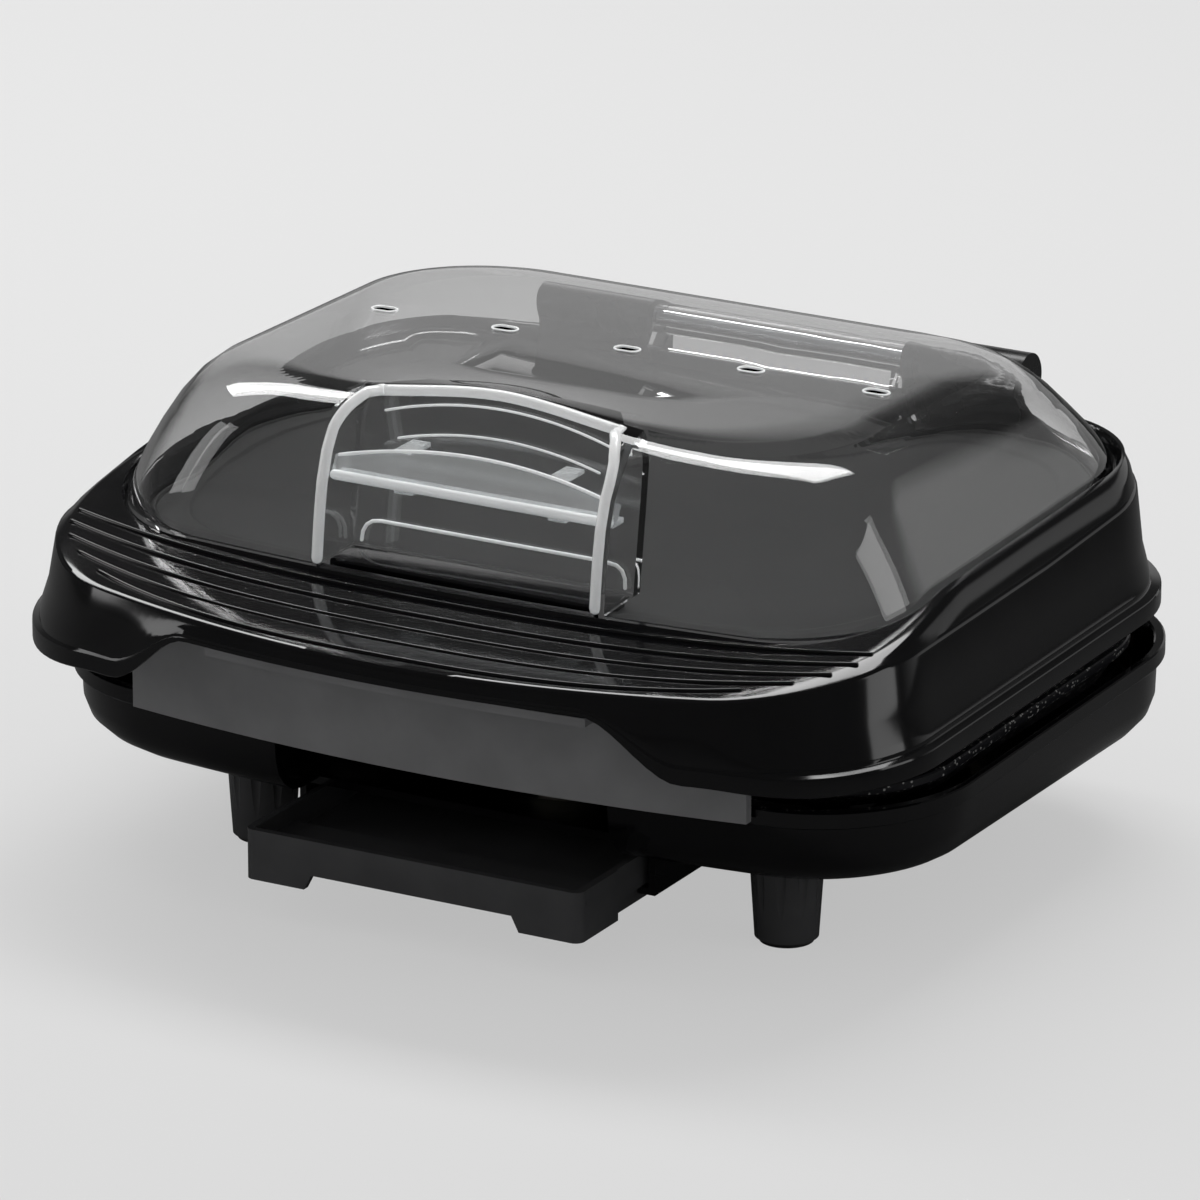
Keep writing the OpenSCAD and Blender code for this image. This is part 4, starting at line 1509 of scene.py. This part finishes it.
@dataclass(frozen=True)
class Lamp:
    """A soft rectangular lamp; lengths in metres, power in watts."""

    name: str
    place: Point3
    aim: Point3
    size: Point2
    watts: float

    def build(self) -> None:
        """Adds the lamp to the scene."""
        data = bpy.data.lights.new(self.name, "AREA")
        data.shape = "RECTANGLE"
        data.size, data.size_y = self.size
        data.energy = self.watts
        obj = bpy.data.objects.new(self.name, data)
        obj.location = self.place
        obj.rotation_euler = (Vector(self.aim) - Vector(self.place)).to_track_quat("-Z", "Y").to_euler()
        bpy.context.scene.collection.objects.link(obj)


LAMPS = (
    Lamp("top_strip", (-0.75, 0.7, 1.45), (-0.75, 0.05, 0.1), (2.4, 0.5), 26),
    Lamp("right_softbox", (2.0, 0.5, 0.7), (0, 0, 0.08), (0.8, 1.2), 5),
    Lamp("left_softbox", (-2.0, -1.1, 0.7), (0, 0, 0.08), (0.5, 1.2), 4.5),
)


@dataclass
class Studio:
    """Floor, world, lamps and camera of the product picture."""

    backdrop: str = "dedede"
    mirrored_floor: str = "5c5c5c"
    floor_plain: float = 0.66
    azimuth: float = 29.28
    elevation: float = 18.99
    distance: float = 3.0
    lens: float = 297.0
    target: Point3 = (0.0, 22.0, 60.0)
    image_shift: Point2 = (-8.67, 10.33)
    fill: float = 0.45
    gloss_fill: float = 0.07
    gloss_rear: float = 0.5
    rear_height: Point2 = (0.27, 0.35)
    rear_depth: Point2 = (0.55, 0.8)
    half_floor: float = 6000.0

    def floor(self) -> None:
        """Makes the pale floor, which keeps the object's shadow."""
        half = self.half_floor
        corners = [(-half, -half, 0), (half, -half, 0), (half, half, 0), (-half, half, 0)]
        obj = make_mesh("floor", corners, [(0, 1, 2, 3)])
        material = bpy.data.materials.new("pale_paper_sweep")
        material.use_nodes = True
        tree = material.node_tree
        tree.nodes.clear()
        light = add_node(tree, "ShaderNodeLightPath")
        colour = add_node(tree, "ShaderNodeMix", {"data_type": "RGBA"}, _0=light.outputs["Is Glossy Ray"])
        colour.inputs[6].default_value = srgb(self.backdrop)
        colour.inputs[7].default_value = srgb(self.mirrored_floor)
        matt = add_node(tree, "ShaderNodeBsdfDiffuse", Color=colour.outputs[2])
        place = add_node(tree, "ShaderNodeTexCoord").outputs["Object"]
        emboss(tree, matt, noise(tree, place, 3.0), 0.05, 0.02)
        plain = add_node(tree, "ShaderNodeEmission", Color=srgb(self.backdrop), Strength=1.0)
        share = calc(tree, "MULTIPLY", self.direct_view(tree), self.floor_plain)
        mix = blend(tree, share, matt, plain)
        add_node(tree, "ShaderNodeOutputMaterial", Surface=mix.outputs["Shader"])
        dress(obj, material)

    @staticmethod
    def direct_view(tree: Tree) -> Socket:
        """Tells direct sight from mirrored light.

        Args:
            tree: the node tree of the floor or the world.

        Returns:
            1 for what the camera sees itself or straight through clear plastic, and 0 for the rest.
        """
        light = add_node(tree, "ShaderNodeLightPath")
        straight = calc(tree, "LESS_THAN", light.outputs["Glossy Depth"], 0.5)
        through = calc(tree, "MULTIPLY", straight, light.outputs["Is Transmission Ray"])
        return calc(tree, "MAXIMUM", light.outputs["Is Camera Ray"], through)

    def world(self) -> None:
        """Makes the surroundings: pale for the eye, soft for matt surfaces and dim for mirrored light."""
        world = bpy.data.worlds.new("studio")
        bpy.context.scene.world = world
        world.use_nodes = True
        tree = world.node_tree
        tree.nodes.clear()
        light = add_node(tree, "ShaderNodeLightPath")
        plain = add_node(tree, "ShaderNodeBackground", Color=srgb(self.backdrop), Strength=1.0)
        fill = add_node(tree, "ShaderNodeBackground", Color=srgb("ffffff"), Strength=self.fill)
        # Gloss mirrors a dim studio, but low down behind the grill it mirrors the pale backdrop.
        place = add_node(tree, "ShaderNodeTexCoord").outputs["Generated"]
        way = add_node(tree, "ShaderNodeSeparateXYZ", Vector=place)
        (z0, z1), (y0, y1) = self.rear_height, self.rear_depth
        low = scale(tree, way.outputs["Z"], From_Min=z0, From_Max=z1, To_Min=1.0, To_Max=0.0)
        rear = scale(tree, way.outputs["Y"], From_Min=y0, From_Max=y1)
        wall = calc(tree, "MULTIPLY", low, rear)
        strength = scale(tree, wall, To_Min=self.gloss_fill, To_Max=self.gloss_rear)
        dim = add_node(tree, "ShaderNodeBackground", Color=srgb("ffffff"), Strength=strength)
        glossy, through = light.outputs["Is Glossy Ray"], light.outputs["Is Transmission Ray"]
        mirrored = calc(tree, "MAXIMUM", glossy, through)
        mix = blend(tree, self.direct_view(tree), blend(tree, mirrored, fill, dim), plain)
        add_node(tree, "ShaderNodeOutputWorld", Surface=mix.outputs["Shader"])

    def camera(self) -> None:
        """Places the camera at the picture's angle."""
        a, e = math.radians(self.azimuth), math.radians(self.elevation)
        back = Vector((math.sin(a) * math.cos(e), -math.cos(a) * math.cos(e), math.sin(e)))
        right = Vector((math.cos(a), math.sin(a), 0))
        up = back.cross(right)
        aim = (Vector(self.target) + right * self.image_shift[0] + up * self.image_shift[1]) * MM
        data = bpy.data.cameras.new("camera")
        data.lens = self.lens
        data.sensor_width = 36.0
        data.clip_end = 50
        obj = bpy.data.objects.new("camera", data)
        obj.location = aim + back * self.distance
        obj.rotation_euler = (aim - obj.location).to_track_quat("-Z", "Y").to_euler()
        bpy.context.scene.collection.objects.link(obj)
        bpy.context.scene.camera = obj

    def build(self) -> None:
        """Builds the studio."""
        bpy.context.scene.view_settings.view_transform = "Standard"
        self.camera()
        self.floor()
        self.world()
        for lamp in LAMPS:
            lamp.build()


# ---------------------------------------------------------------------------- build


def main() -> None:
    """Builds the studio and the grill in order."""
    logging.basicConfig(level=logging.INFO, format="%(message)s")
    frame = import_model()
    Studio().build()
    finishes = Finishes()
    LowerHalf(finishes, frame["nodes"]).build()
    UpperHalf(finishes, frame["nodes"]).build()
    DomeLid(finishes, frame["nodes"]).build()
    Tray(finishes, frame["nodes"]).build()


if __name__ == "__main__":
    main()
